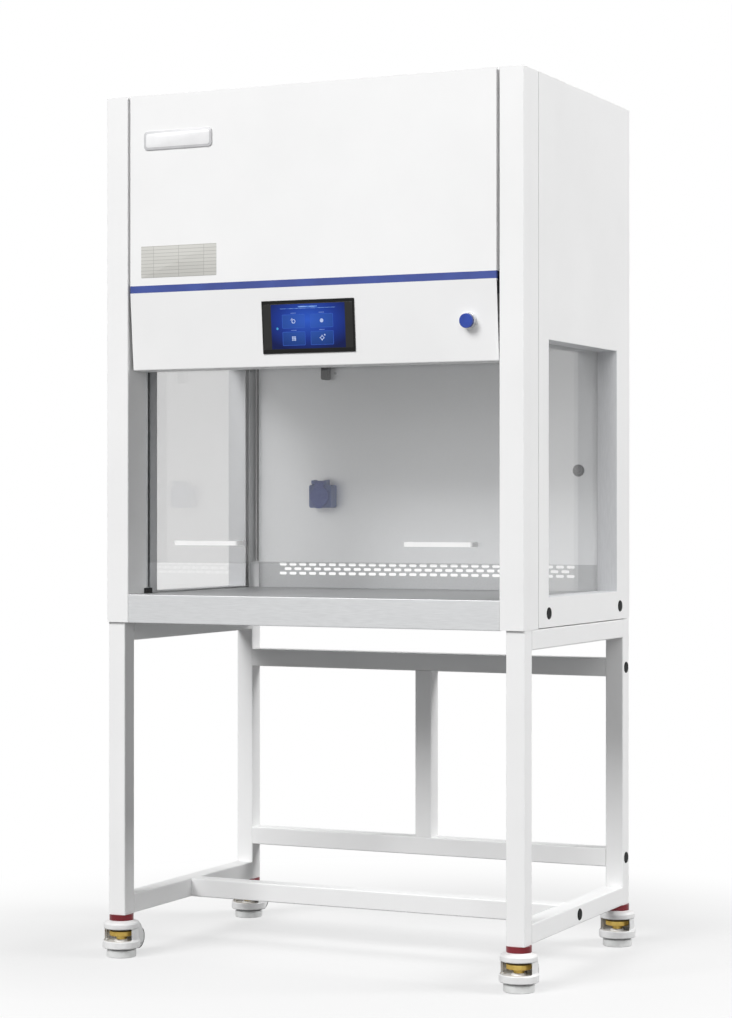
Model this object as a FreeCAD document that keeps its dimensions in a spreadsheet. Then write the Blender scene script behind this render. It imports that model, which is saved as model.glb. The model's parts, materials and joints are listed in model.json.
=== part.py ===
"""Vertical laminar flow cabinet on a knock-down stand with four levelling casters.

Millimetres. +Z is up from the floor, +X is to the right of someone who faces it, and -Y is its front.
The origin is the middle of the footprint, on the floor.
"""
import FreeCAD
import Part

import os
import re

import Sketcher

Vector = FreeCAD.Vector

# Driving sizes: one cell of the sheet each
SIZES = {
    # Overall
    "width": 1000,
    "depth": 655,
    "height": 1916,
    "stand_top": 748.5,
    # Sheet metal
    "skin": 2,
    "seam": 2,
    "panel_gap": 6,
    "panel_return": 20,
    # Front corner posts
    "post_lap": 3,
    "post_deep": 82,
    "post_round": 3,
    # Side walls, with distances back from the front
    "wall": 52,
    "liner": 5,
    "window_front": 142,
    "window_back": 570.5,
    "window_low": 813.4,
    "window_high": 1359.2,
    "pane_lap": 10,
    "pane_gap": 0.5,
    # Work chamber
    "worktop_high": 811,
    "worktop_set": 1.5,
    "lip_low": 747.5,
    "hem": 25,
    "back_wall": 612,
    "back_wall_gap": 9,
    "band_high": 872,
    "ceiling": 1366,
    # Slots of the perforated strip
    "slot_long": 20,
    "slot_high": 6.8,
    "slot_pitch": 26.6,
    "slot_rise": 10.8,
    "slot_first": 844.8,
    "slots_long_row": 29,
    # Front bands and control panel
    "stripe_low": 1479,
    "stripe_high": 1495,
    "stripe_thick": 8,
    "control_slope": 171.5,
    "control_tilt": 4.7,
    "control_flange": 64,
    "screen_wide": 221.6,
    "screen_high": 114,
    "screen_proud": 2.5,
    "screen_box_wide": 192,
    "screen_box_high": 98,
    "screen_box_deep": 26,
    "button_x": 375.5,
    "button_radius": 15.3,
    "button_travel": 3,
    "barrel_radius": 11,
    "plunger_radius": 8,
    "collar_radius": 16,
    # Sash
    "glass": 5,
    "sash_back": 86,
    "sash_low": 880,
    "sash_high": 1387,
    "guide_wide": 11,
    "guide_deep": 13,
    "guide_grip": 7.5,
    "sash_play": 0.4,
    "handle_x": 281,
    "handle_long": 160,
    "handle_thick": 10,
    "handle_reach": 31,
    "handle_high": 925,
    "bumper_high": 12,
    "bumper_front": 70,
    "bumper_back": 97,
    "bumper_lap": 3,
    # Filter and fan
    "diffuser_rim": 12,
    "filter_high": 78,
    "filter_recess": 8,
    "fan_deck_high": 1700,
    "plenum_front": 97,
    "inlet_radius": 74,
    "impeller_radius": 112,
    "impeller_high": 62,
    "blade_thick": 2,
    "blade_count": 9,
    "motor_radius": 46,
    "motor_high": 44,
    "shaft_radius": 5,
    "bracket_half": 115,
    "bracket_post": 105,
    "bracket_post_radius": 5,
    "prefilter_wide": 400,
    "prefilter_deep": 300,
    "prefilter_thick": 20,
    # Lights
    "lamp_radius": 8,
    "lamp_low": 1353,
    "holder_x": 251,
    "holder_wide": 16,
    "holder_deep": 22,
    "holder_high": 55,
    "strip_long": 800,
    "strip_wide": 34,
    "strip_high": 14,
    # Fittings on the rear wall
    "socket_x": -257,
    "socket_z": 1031,
    "socket_wide": 59,
    "socket_high": 55,
    "socket_deep": 30,
    "socket_cup": 20,
    "lid_radius": 25,
    "lid_thick": 7,
    "hinge_rise": 34,
    "hinge_pin": 2,
    "port_x": 392,
    "port_z": 1089,
    "port_bore": 7,
    "port_neck": 10,
    "port_flange": 14,
    "inlet_x": 350,
    "inlet_z": 980,
    # Stand
    "tube": 42,
    "tube_wall": 2,
    "tube_round": 3,
    "stand_inset": 6.5,
    "side_inset": 0.8,
    "leg_bottom": 95.3,
    "rail_high": 658.8,
    "rail_low": 223.2,
    "end_plate": 4,
    "access_radius": 10,
    "plug_radius": 13,
    "plug_lip": 1.5,
    "plug_stem": 7,
    "bolt_radius": 4,
    "bolt_head": 6.5,
    "bolt_head_high": 8,
    "bolt_long": 26,
    "side_plug_front": 143.3,
    "side_plug_back": 590.8,
    "side_plug_high": 780,
    # Levelling casters, with heights above the floor
    "collar_red": 27,
    "swivel_pin": 6,
    "swivel_head": 10,
    "insert_high": 24,
    "plate_radius": 40,
    "plate_low": 68,
    "plate_high": 82,
    "ring_radius": 42,
    "ring_low": 20,
    "ring_high": 36,
    "bowl_radius": 36,
    "recess_high": 31,
    "recess_play": 2,
    "floor_high": 34.5,
    "bush_high": 38.7,
    "bush_radius": 14,
    "hub_radius": 12,
    "thumb_radius": 26,
    "thumb_low": 47,
    "thumb_high": 58,
    "thread_radius": 8,
    "pad_radius": 33,
    "pad_high": 17,
    "pad_stem": 53,
    "wheel_radius": 25,
    "wheel_half": 14,
    "wheel_tuck": 1,
    "wheel_lift": 9,
    "wheel_room": 1.2,
    "axle_radius": 4,
    "fork_half": 18,
    "fork_wall": 3.5,
    # Clearances between pieces that move on each other
    "fit": 0.05,
    "gap": 0.3,
}

# Places worked out from the sizes
AXLE_Z = "(wheel_radius + wheel_lift)"
WHEEL_TRAIL = "(pad_radius + wheel_radius - wheel_tuck)"
CASTER_FRONT_OVER = "(ring_radius - stand_inset - tube / 2)"
CASTER_BACK_OVER = f"({WHEEL_TRAIL} + wheel_radius - tube / 2)"
FRONT = f"(({CASTER_FRONT_OVER} - {CASTER_BACK_OVER} - depth) / 2)"
BACK = f"({FRONT} + depth)"
HALF = "(width / 2)"
POST_INNER = "(width / 2 - wall - post_lap)"
WALL_INNER = "(width / 2 - wall)"
WALL_SHELL = "(width / 2 - wall + liner)"
BAY = "(width / 2 - wall - post_lap - panel_gap)"
REAR_WALL = f"({FRONT} + back_wall)"
REAR_WALL_BACK = f"({FRONT} + back_wall + skin)"
REAR_WALL_HALF = "(width / 2 - wall - back_wall_gap)"
GUIDE_INNER = f"({WALL_SHELL} - guide_wide)"
GLASS_HALF = f"({GUIDE_INNER} + guide_grip)"
BUMPER_INNER = f"({GUIDE_INNER} - bumper_lap)"
SASH_FRONT = f"({FRONT} + sash_back)"
SASH_REAR = f"({FRONT} + sash_back + glass)"
LEG_X = "(width / 2 - side_inset - tube / 2)"
LEG_Y_FRONT = f"({FRONT} + stand_inset + tube / 2)"
LEG_Y_BACK = f"({BACK} - tube / 2)"
CROSS_Y = f"(({LEG_Y_FRONT} + {LEG_Y_BACK}) / 2)"
FILTER_LOW = "(ceiling + diffuser_rim)"
FILTER_TOP = "(ceiling + diffuser_rim + filter_high)"
PLENUM_FRONT = f"({FRONT} + plenum_front)"
FAN_Y = f"(({PLENUM_FRONT} + {BACK}) / 2)"
COVER_LOW = "(height - skin)"
TILT = "(control_tilt * 1deg)"

doc = FreeCAD.newDocument("LaminarFlowCabinet")
sheet = doc.addObject("Spreadsheet::Sheet", "Sizes")
for row, (size_name, size) in enumerate(SIZES.items(), start=1):
    sheet.set(f"A{row}", size_name)
    sheet.set(f"B{row}", str(size))
    sheet.setAlias(f"B{row}", size_name)
doc.recompute()

SIZE_WORDS = re.compile(r"\b(" + "|".join(sorted(SIZES, key=len, reverse=True)) + r")\b")
nodes = []


def bind(thing, prop, text):
    """Ties a property to the sheet: each size's name in the text stands for its cell."""
    thing.setExpression(prop, SIZE_WORDS.sub(r"Sizes.\1", text))


def place(thing, x="0", y="0", z="0", axis=None, angle="0"):
    """Puts an object at a bound position, turned about an axis by a bound angle in degrees."""
    if axis:
        thing.Placement = FreeCAD.Placement(Vector(), FreeCAD.Rotation(axis, 1))
        bind(thing, ".Placement.Rotation.Angle", angle)
    for letter, text in zip("xyz", (x, y, z)):
        bind(thing, f".Placement.Base.{letter}", text)


def node(thing, label):
    """Marks an object as a finished piece, which is written to a file of that name."""
    thing.Label = label
    nodes.append(thing)
    return thing


def new_body(name):
    return doc.addObject("PartDesign::Body", name)


def sketch_on(body, role, offset):
    """A sketch on one of the body's own planes, moved along the plane's normal."""
    sketch = body.newObject("Sketcher::SketchObject", "Sketch")
    plane = next(f for f in body.Origin.OriginFeatures if f.Role == role)
    sketch.AttachmentSupport = [(plane, "")]
    sketch.MapMode = "FlatFace"
    bind(sketch, ".AttachmentOffset.Base.z", offset)
    return sketch


def pin_point(sketch, edge, end, across, up):
    """Fixes a point of an edge at bound distances from the sketch's origin."""
    for kind, text in (("DistanceX", across), ("DistanceY", up)):
        number = sketch.addConstraint(Sketcher.Constraint(kind, -1, 1, edge, end, 1.0))
        bind(sketch, f"Constraints[{number}]", text)


def outline(points):
    """A closed loop of straight lines through bound points."""
    def draw(sketch):
        start = sketch.GeometryCount
        count = len(points)
        turn = 360 / count
        ring = [FreeCAD.Rotation(Vector(0, 0, 1), turn * i).multVec(Vector(50, 0, 0)) for i in range(count)]
        for i in range(count):
            sketch.addGeometry(Part.LineSegment(ring[i], ring[(i + 1) % count]), False)
        for i in range(count):
            following = start + (i + 1) % count
            sketch.addConstraint(Sketcher.Constraint("Coincident", start + i, 2, following, 1))
        for i, (across, up) in enumerate(points):
            pin_point(sketch, start + i, 1, across, up)
    return draw


def rect(left, right, low, high):
    return outline([(left, low), (right, low), (right, high), (left, high)])


def circle(across, up, radius):
    def draw(sketch):
        number = sketch.addGeometry(Part.Circle(Vector(5, 5, 0), Vector(0, 0, 1), 3), False)
        pin_point(sketch, number, 3, across, up)
        size_number = sketch.addConstraint(Sketcher.Constraint("Radius", number, 3.0))
        bind(sketch, f"Constraints[{size_number}]", radius)
    return draw


def slot(across, up, length, high):
    """A level slot with round ends, about a bound centre."""
    def draw(sketch):
        start = sketch.GeometryCount
        z_axis = Vector(0, 0, 1)
        left_end = Part.ArcOfCircle(Part.Circle(Vector(-7, 0, 0), z_axis, 3), 1.5708, 4.7124)
        right_end = Part.ArcOfCircle(Part.Circle(Vector(7, 0, 0), z_axis, 3), -1.5708, 1.5708)
        sketch.addGeometry(left_end, False)
        sketch.addGeometry(right_end, False)
        sketch.addGeometry(Part.LineSegment(Vector(-7, -3, 0), Vector(7, -3, 0)), False)
        sketch.addGeometry(Part.LineSegment(Vector(7, 3, 0), Vector(-7, 3, 0)), False)
        left, right, bottom, top = range(start, start + 4)
        for first, first_end, second, second_end in (
            (left, 2, bottom, 1), (bottom, 2, right, 1), (right, 2, top, 1), (top, 2, left, 1),
        ):
            sketch.addConstraint(Sketcher.Constraint("Tangent", first, first_end, second, second_end))
        sketch.addConstraint(Sketcher.Constraint("Equal", left, right))
        number = sketch.addConstraint(Sketcher.Constraint("Radius", left, 3.0))
        bind(sketch, f"Constraints[{number}]", f"{high} / 2")
        pin_point(sketch, left, 3, f"{across} - ({length} - {high}) / 2", up)
        pin_point(sketch, right, 3, f"{across} + ({length} - {high}) / 2", up)
    return draw


def fill(body, role, low, high, *loops):
    """Adds material between two levels along the plane's own axis."""
    along_y = role == "XZ_Plane"
    sketch = sketch_on(body, role, f"-({high})" if along_y else low)
    for draw in loops:
        draw(sketch)
    pad = body.newObject("PartDesign::Pad", "Pad")
    pad.Profile = sketch
    bind(pad, "Length", f"({high}) - ({low})")
    return pad


def carve(body, role, low, high, *loops):
    """Takes material away between two levels along the plane's own axis."""
    along_y = role == "XZ_Plane"
    sketch = sketch_on(body, role, f"-({low})" if along_y else high)
    for draw in loops:
        draw(sketch)
    pocket = body.newObject("PartDesign::Pocket", "Pocket")
    pocket.Profile = sketch
    bind(pocket, "Length", f"({high}) - ({low})")
    return pocket


def turn(body, points, name="Revolution"):
    """Turns an outline of (radius, height) points about the body's Z axis."""
    sketch = sketch_on(body, "XZ_Plane", "0")
    outline(points)(sketch)
    turned = body.newObject(f"PartDesign::{name}", name)
    turned.Profile = sketch
    turned.ReferenceAxis = (sketch, ["V_Axis"])
    turned.Angle = 360
    return turned


def fillet(body, feature, radius, keep):
    """Rounds the edges of a feature that the test keeps."""
    doc.recompute()
    names = [f"Edge{i}" for i, edge in enumerate(feature.Shape.Edges, start=1) if keep(edge)]
    rounding = body.newObject("PartDesign::Fillet", "Fillet")
    rounding.Base = (feature, names)
    bind(rounding, "Radius", radius)
    return rounding


def runs_along(direction):
    """A test for straight edges that lie along a direction."""
    def keep(edge):
        if not isinstance(edge.Curve, Part.Line):
            return False
        return abs(edge.Curve.Direction.dot(direction)) > 0.999
    return keep


def compound(label, pieces):
    """Several like pieces, each a solid of its own, in one node."""
    together = doc.addObject("Part::Compound", label)
    together.Links = pieces
    return node(together, label)


def span(side, inner, outer):
    """The X interval between two distances from the middle plane, on one side."""
    if side == "right":
        return inner, outer
    return f"-({outer})", f"-({inner})"


def size_of(name):
    return float(sheet.get(name))


# Cabinet shell


def corner_post(side):
    """Folded corner column: closed on top, open below, round at its front edges."""
    body = new_body("CornerPost")
    left, right = span(side, POST_INNER, HALF)
    front, back = FRONT, f"{FRONT} + post_deep"
    column = fill(body, "XY_Plane", "stand_top", "height", rect(left, right, front, back))

    def front_edge(edge):
        return runs_along(Vector(0, 0, 1))(edge) and edge.CenterOfMass.y < column.Shape.CenterOfMass.y

    fillet(body, column, "post_round", front_edge)
    inside = rect(f"{left} + skin", f"{right} - skin", f"{front} + skin", f"{back} - skin")
    carve(body, "XY_Plane", "stand_top", "height - skin", inside)
    return node(body, f"corner_post_{side}")


def window_rect(out):
    """The side window's outline, widened all round."""
    return rect(
        f"{FRONT} + window_front - ({out})", f"{FRONT} + window_back + ({out})",
        f"window_low - ({out})", f"window_high + ({out})",
    )


def plug_spots():
    return [(f"{FRONT} + side_plug_front", "side_plug_high"), (f"{FRONT} + side_plug_back", "side_plug_high")]


def side_panel(side):
    """Outer side cover: a folded tray with a jamb round the window and holes for two access plugs."""
    body = new_body("SidePanel")
    left, right = span(side, WALL_SHELL, HALF)
    front, back = f"{FRONT} + post_deep + seam", BACK
    low, high = "stand_top + seam", "height"
    fill(body, "YZ_Plane", left, right, rect(front, back, low, high), window_rect("0"))
    inner_low, inner_high = (left, f"{right} - skin") if side == "right" else (f"{left} + skin", right)
    inside = rect(f"{front} + skin", f"{back} - skin", f"{low} + skin", f"{high} - skin")
    carve(body, "YZ_Plane", inner_low, inner_high, inside, window_rect("skin"))
    skin_low, skin_high = (f"{right} - skin", right) if side == "right" else (left, f"{left} + skin")
    carve(body, "YZ_Plane", skin_low, skin_high, *[circle(y, z, "access_radius") for y, z in plug_spots()])
    return node(body, f"side_panel_{side}")


def side_liner(side):
    """Inner face of the side wall, with an opening that the pane fills."""
    body = new_body("SideLiner")
    left, right = span(side, WALL_INNER, WALL_SHELL)
    front = f"{FRONT} + post_deep + guide_deep"
    edge = rect(front, BACK, "stand_top + seam", "height")
    fill(body, "YZ_Plane", left, right, edge, window_rect("pane_lap"))
    return node(body, f"side_liner_{side}")


def side_window(side):
    """Tinted pane, flush with the liner and backed by the jamb of the side panel."""
    body = new_body("SideWindow")
    left, right = span(side, WALL_INNER, WALL_SHELL)
    fill(body, "YZ_Plane", left, right, window_rect("pane_lap - pane_gap"))
    return node(body, f"side_window_{side}")


def front_panel():
    """Upper front cover: a shallow folded tray with its open side to the back."""
    body = new_body("FrontPanel")
    back = f"{FRONT} + panel_return"
    fill(body, "XZ_Plane", FRONT, back, rect(f"-{BAY}", BAY, "stripe_high", "height"))
    inside = rect(f"-{BAY} + skin", f"{BAY} - skin", "stripe_high + skin", "height - skin")
    carve(body, "XZ_Plane", f"{FRONT} + skin", back, inside)
    return node(body, "front_panel")


def blue_stripe():
    body = new_body("BlueStripe")
    strip = rect(f"-{BAY}", BAY, "stripe_low", "stripe_high")
    fill(body, "XZ_Plane", FRONT, f"{FRONT} + stripe_thick", strip)
    return node(body, "blue_stripe")


def on_control_panel(body):
    """Places a body in the control panel's frame: face in its XZ plane, top edge at its origin."""
    place(body, y=FRONT, z="stripe_low", axis=Vector(1, 0, 0), angle="control_tilt")


def control_panel():
    """Folded panel that leans back, with a level flange below that runs in to the sash."""
    body = new_body("ControlPanel")
    inner_run = f"(skin * (1 - sin({TILT})) / cos({TILT}))"
    profile = [
        ("0", "0"),
        ("0", "-control_slope"),
        (f"control_flange * cos({TILT})", f"-control_slope - control_flange * sin({TILT})"),
        (
            f"control_flange * cos({TILT}) + skin * sin({TILT})",
            f"-control_slope - control_flange * sin({TILT}) + skin * cos({TILT})",
        ),
        ("skin", f"-control_slope + skin * cos({TILT}) - {inner_run} * sin({TILT})"),
        ("skin", "-2 * skin"),
        ("stripe_thick", "-2 * skin"),
        ("stripe_thick", "-skin"),
    ]
    folded = fill(body, "YZ_Plane", f"-{BAY}", BAY, outline(profile))

    def lower_front_edge(edge):
        at = edge.CenterOfMass
        return abs(at.y) < 0.01 and abs(at.z + size_of("control_slope")) < 0.01 and edge.Length > 100

    fillet(body, folded, "post_round", lower_front_edge)
    box = rect(
        "-screen_box_wide / 2 - pane_gap", "screen_box_wide / 2 + pane_gap",
        "-control_slope / 2 - screen_box_high / 2 - pane_gap",
        "-control_slope / 2 + screen_box_high / 2 + pane_gap",
    )
    hole = circle("button_x", "-control_slope / 2", "barrel_radius + gap")
    carve(body, "XZ_Plane", "0", "skin", box, hole)
    on_control_panel(body)
    return node(body, "control_panel")


def touch_screen():
    """Panel-mounted display: a thin bezel in front and its box behind the panel."""
    body = new_body("TouchScreen")
    middle = "-control_slope / 2"
    bezel = rect(
        "-screen_wide / 2", "screen_wide / 2", f"{middle} - screen_high / 2", f"{middle} + screen_high / 2"
    )
    front = fill(body, "XZ_Plane", "-screen_proud", "0", bezel)
    fillet(body, front, "screen_proud * 0.4", runs_along(Vector(0, 1, 0)))
    box = rect(
        "-screen_box_wide / 2", "screen_box_wide / 2",
        f"{middle} - screen_box_high / 2", f"{middle} + screen_box_high / 2",
    )
    fill(body, "XZ_Plane", "0", "screen_box_deep", box)
    on_control_panel(body)
    return node(body, "touch_screen")


def on_button_axis(body):
    """Places a body with its Z axis along the button's axis, out of the panel's face."""
    y = f"{FRONT} + control_slope / 2 * sin({TILT})"
    z = f"stripe_low - control_slope / 2 * cos({TILT})"
    place(body, "button_x", y, z, axis=Vector(1, 0, 0), angle="90 + control_tilt")


def switch_collar():
    """Seal, ring and threaded barrel of the push button, with its nut behind the panel."""
    body = new_body("SwitchCollar")
    bore = "plunger_radius + fit"
    turn(body, [
        (bore, "-18"), ("barrel_radius", "-18"), ("barrel_radius", "-skin - 5"),
        ("barrel_radius + 3", "-skin - 5"), ("barrel_radius + 3", "-skin"), ("barrel_radius", "-skin"),
        ("barrel_radius", "0"), ("collar_radius + 0.8", "0"), ("collar_radius + 0.8", "3"),
        ("collar_radius", "3"), ("collar_radius - 0.6", "13"), (bore, "13"),
    ])
    on_button_axis(body)
    return node(body, "switch_collar")


def power_button():
    """Button cap with the plunger that slides in the barrel."""
    body = new_body("PowerButton")
    cap_back = "13 + button_travel + gap"
    turn(body, [
        ("0", "-14"), ("plunger_radius", "-14"), ("plunger_radius", cap_back), ("button_radius", cap_back),
        ("button_radius", f"{cap_back} + 3.2"), ("button_radius - 1", f"{cap_back} + 4.2"),
        ("0", f"{cap_back} + 4.2"),
    ])
    on_button_axis(body)
    return node(body, "power_button")


def prefilter_rect(out):
    return rect(
        f"-prefilter_wide / 2 - ({out})", f"prefilter_wide / 2 + ({out})",
        f"{FAN_Y} - prefilter_deep / 2 - ({out})", f"{FAN_Y} + prefilter_deep / 2 + ({out})",
    )


def top_cover():
    """Top sheet with a sunken tray that holds the pre-filter over a ledge."""
    body = new_body("TopCover")
    near, step, far = f"{FRONT} + panel_return", f"{FRONT} + post_deep", BACK
    sheet_edge = outline([
        (f"-{POST_INNER}", near), (POST_INNER, near), (POST_INNER, step), (WALL_INNER, step),
        (WALL_INNER, far), (f"-{WALL_INNER}", far), (f"-{WALL_INNER}", step), (f"-{POST_INNER}", step),
    ])
    fill(body, "XY_Plane", COVER_LOW, "height", sheet_edge, prefilter_rect("pane_gap"))
    tray_low = f"{COVER_LOW} - prefilter_thick"
    fill(body, "XY_Plane", tray_low, COVER_LOW, prefilter_rect("pane_gap + skin"), prefilter_rect("pane_gap"))
    ledge = prefilter_rect("pane_gap + skin"), prefilter_rect("-12")
    fill(body, "XY_Plane", f"{tray_low} - skin", tray_low, *ledge)
    return node(body, "top_cover")


def prefilter():
    """Framed coarse filter pad that lies in the top cover's tray."""
    body = new_body("Prefilter")
    low = f"{COVER_LOW} - prefilter_thick"
    fill(body, "XY_Plane", low, COVER_LOW, prefilter_rect("0"))
    carve(body, "XY_Plane", f"{COVER_LOW} - 4", COVER_LOW, prefilter_rect("-14"))
    return node(body, "prefilter")


def rear_panel():
    """Rear cover: a deep tray open to the front, which ends above the perforated strip."""
    body = new_body("RearPanel")
    low, high = "band_high", COVER_LOW
    fill(body, "XZ_Plane", REAR_WALL_BACK, BACK, rect(f"-{WALL_INNER}", WALL_INNER, low, high))
    inside = rect(f"-{WALL_INNER} + skin", f"{WALL_INNER} - skin", f"{low} + skin", f"{high} - skin")
    carve(body, "XZ_Plane", REAR_WALL_BACK, f"{BACK} - skin", inside)
    shelf = rect(f"-{WALL_INNER} + skin", f"{WALL_INNER} - skin", REAR_WALL_BACK, f"{BACK} - skin")
    fill(body, "XY_Plane", "fan_deck_high", "fan_deck_high + skin", shelf)
    inlet = rect("inlet_x - 22", "inlet_x + 22", "inlet_z - 15", "inlet_z + 15")
    carve(body, "XZ_Plane", f"{BACK} - skin", BACK, circle("port_x", "port_z", "port_neck + fit"), inlet)
    return node(body, "rear_panel")


def rear_inner_wall():
    """Back of the work chamber above the perforated strip, with the port's hole."""
    body = new_body("RearInnerWall")
    edge = rect(f"-{REAR_WALL_HALF}", REAR_WALL_HALF, "band_high", "ceiling")
    fill(body, "XZ_Plane", REAR_WALL, REAR_WALL_BACK, edge, circle("port_x", "port_z", "port_neck + fit"))
    return node(body, "rear_inner_wall")


def slot_row(body, first_x, rows, count):
    """Cuts rows of level slots, repeated along X."""
    slots = [slot(first_x, z, "slot_long", "slot_high") for z in rows]
    cut = carve(body, "XZ_Plane", REAR_WALL, REAR_WALL_BACK, *slots)
    pattern = body.newObject("PartDesign::LinearPattern", "SlotRow")
    pattern.Originals = [cut]
    pattern.Direction = (cut.Profile[0], ["H_Axis"])
    bind(pattern, "Occurrences", count)
    bind(pattern, "Length", f"slot_pitch * (({count}) - 1)")
    body.Tip = pattern
    return pattern


def perforated_panel():
    """Strip of staggered slots behind the worktop's hem, with a flange under the rear cover."""
    body = new_body("PerforatedPanel")
    low, high = "worktop_high - hem", "band_high"
    fill(body, "XZ_Plane", REAR_WALL, REAR_WALL_BACK, rect(f"-{REAR_WALL_HALF}", REAR_WALL_HALF, low, high))
    flange = rect(f"-{REAR_WALL_HALF}", REAR_WALL_HALF, f"{high} - skin / 2", high)
    fill(body, "XZ_Plane", REAR_WALL_BACK, f"{REAR_WALL_BACK} + 12", flange)
    first = "-slot_pitch * (slots_long_row - 1) / 2"
    slot_row(body, first, ("slot_first", "slot_first + 2 * slot_rise"), "slots_long_row")
    slot_row(body, f"{first} + slot_pitch / 2", ("slot_first + slot_rise",), "slots_long_row - 1")
    return node(body, "perforated_panel")


def worktop():
    """Folded stainless tray: deep front lip, rear hem and a notch round each end stop of the sash."""
    body = new_body("Worktop")
    front, back = f"({FRONT} + worktop_set)", REAR_WALL
    profile = [
        (front, "lip_low"), (front, "worktop_high"), (back, "worktop_high"), (back, "worktop_high - hem"),
        (f"{back} - skin", "worktop_high - hem"), (f"{back} - skin", "worktop_high - skin"),
        (f"{front} + skin", "worktop_high - skin"), (f"{front} + skin", "lip_low + skin"),
        (f"{front} + hem / 2", "lip_low + skin"), (f"{front} + hem / 2", "lip_low"),
    ]
    folded = fill(body, "YZ_Plane", f"-{POST_INNER}", POST_INNER, outline(profile))

    def front_edge(edge):
        low_y = folded.Shape.BoundBox.YMin
        return runs_along(Vector(1, 0, 0))(edge) and abs(edge.CenterOfMass.y - low_y) < 0.01

    fillet(body, folded, "skin * 0.9", front_edge)
    near, far = f"{FRONT} + bumper_front - gap", f"{FRONT} + bumper_back + gap"
    sides = [span(side, f"{BUMPER_INNER} - gap", POST_INNER) for side in ("left", "right")]
    notches = [rect(left, right, near, far) for left, right in sides]
    carve(body, "XY_Plane", "worktop_high - skin", "worktop_high", *notches)
    return node(body, "worktop")


def base_pan():
    """Closed floor of the cabinet, whose upturned edges carry the worktop."""
    body = new_body("BasePan")
    front = f"{FRONT} + worktop_set + hem / 2 + seam"
    edge = (f"-{POST_INNER}", POST_INNER, front, f"{REAR_WALL} - skin")
    low, high = "stand_top + seam", "worktop_high - skin"
    fill(body, "XY_Plane", low, high, rect(*edge))
    left, right, near, far = edge
    inside = rect(f"{left} + skin", f"{right} - skin", f"{near} + skin", f"{far} - skin")
    carve(body, "XY_Plane", f"{low} + skin", high, inside)
    return node(body, "base_pan")


# Filter and fan


def diffuser():
    """Ceiling tray under the filter."""
    body = new_body("Diffuser")
    left, right, near, far = f"-{WALL_INNER}", WALL_INNER, PLENUM_FRONT, REAR_WALL_BACK
    fill(body, "XY_Plane", "ceiling", FILTER_LOW, rect(left, right, near, far))
    inside = rect(f"{left} + skin", f"{right} - skin", f"{near} + skin", f"{far} - skin")
    carve(body, "XY_Plane", "ceiling + skin", FILTER_LOW, inside)
    return node(body, "diffuser")


def hepa_filter():
    """Framed main filter with its pleated pack set back from both faces."""
    body = new_body("HepaFilter")
    left, right, near, far = f"-{WALL_INNER}", WALL_INNER, PLENUM_FRONT, REAR_WALL_BACK
    fill(body, "XY_Plane", FILTER_LOW, FILTER_TOP, rect(left, right, near, far))
    inside = rect(f"{left} + 18", f"{right} - 18", f"{near} + 18", f"{far} - 18")
    carve(body, "XY_Plane", f"{FILTER_TOP} - filter_recess", FILTER_TOP, inside)
    carve(body, "XY_Plane", FILTER_LOW, f"{FILTER_LOW} + filter_recess", inside)
    return node(body, "hepa_filter")


def fan_deck():
    """Folded plenum front and deck in one sheet, with the inlet ring and the motor's bracket."""
    body = new_body("FanDeck")
    near, far = PLENUM_FRONT, REAR_WALL_BACK
    high = "fan_deck_high + skin"
    profile = [
        (near, FILTER_TOP), (near, high), (far, high), (far, "fan_deck_high"),
        (f"{near} + skin", "fan_deck_high"), (f"{near} + skin", FILTER_TOP),
    ]
    fill(body, "YZ_Plane", f"-{WALL_INNER}", WALL_INNER, outline(profile))
    carve(body, "XY_Plane", "fan_deck_high", high, circle("0", FAN_Y, "inlet_radius"))
    ring = new_body("InletRing")
    turn(ring, [
        ("inlet_radius", "fan_deck_high + skin"), ("inlet_radius - 8", "fan_deck_high - 4"),
        ("inlet_radius - 12", "fan_deck_high - 16"), ("inlet_radius - 10", "fan_deck_high - 16"),
        ("inlet_radius - 6", "fan_deck_high - 4"), ("inlet_radius + 2", "fan_deck_high"),
        ("inlet_radius + 6", "fan_deck_high"), ("inlet_radius + 6", "fan_deck_high + skin"),
    ])
    place(ring, y=FAN_Y)
    low = f"{MOTOR_LOW} - skin"
    spots = [(x, y) for x in ("-bracket_post", "bracket_post") for y in ("-bracket_post", "bracket_post")]
    posts = new_body("BracketPosts")
    plate = rect("-bracket_half", "bracket_half", "-bracket_half", "bracket_half")
    fill(posts, "XY_Plane", low, MOTOR_LOW, plate)
    rods = [circle(x, y, "bracket_post_radius") for x, y in spots]
    fill(posts, "XY_Plane", MOTOR_LOW, "fan_deck_high", *rods)
    place(posts, y=FAN_Y)
    whole = doc.addObject("Part::MultiFuse", "FanDeckWhole")
    whole.Shapes = [body, ring, posts]
    return node(whole, "fan_deck")


IMPELLER_TOP = "(fan_deck_high - 8)"
IMPELLER_LOW = f"({IMPELLER_TOP} - impeller_high)"
MOTOR_TOP = f"({IMPELLER_LOW} - 3)"
MOTOR_LOW = f"({MOTOR_TOP} - motor_high)"


def fan_motor():
    """Motor can on the bracket plate, with its shaft."""
    body = new_body("FanMotor")
    turn(body, [
        ("0", MOTOR_LOW), ("motor_radius", MOTOR_LOW), ("motor_radius", f"{MOTOR_TOP} - 6"),
        ("motor_radius - 8", MOTOR_TOP), ("shaft_radius", MOTOR_TOP),
        ("shaft_radius", f"{IMPELLER_LOW} + 22"), ("0", f"{IMPELLER_LOW} + 22"),
    ])
    place(body, y=FAN_Y)
    return node(body, "fan_motor")


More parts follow.
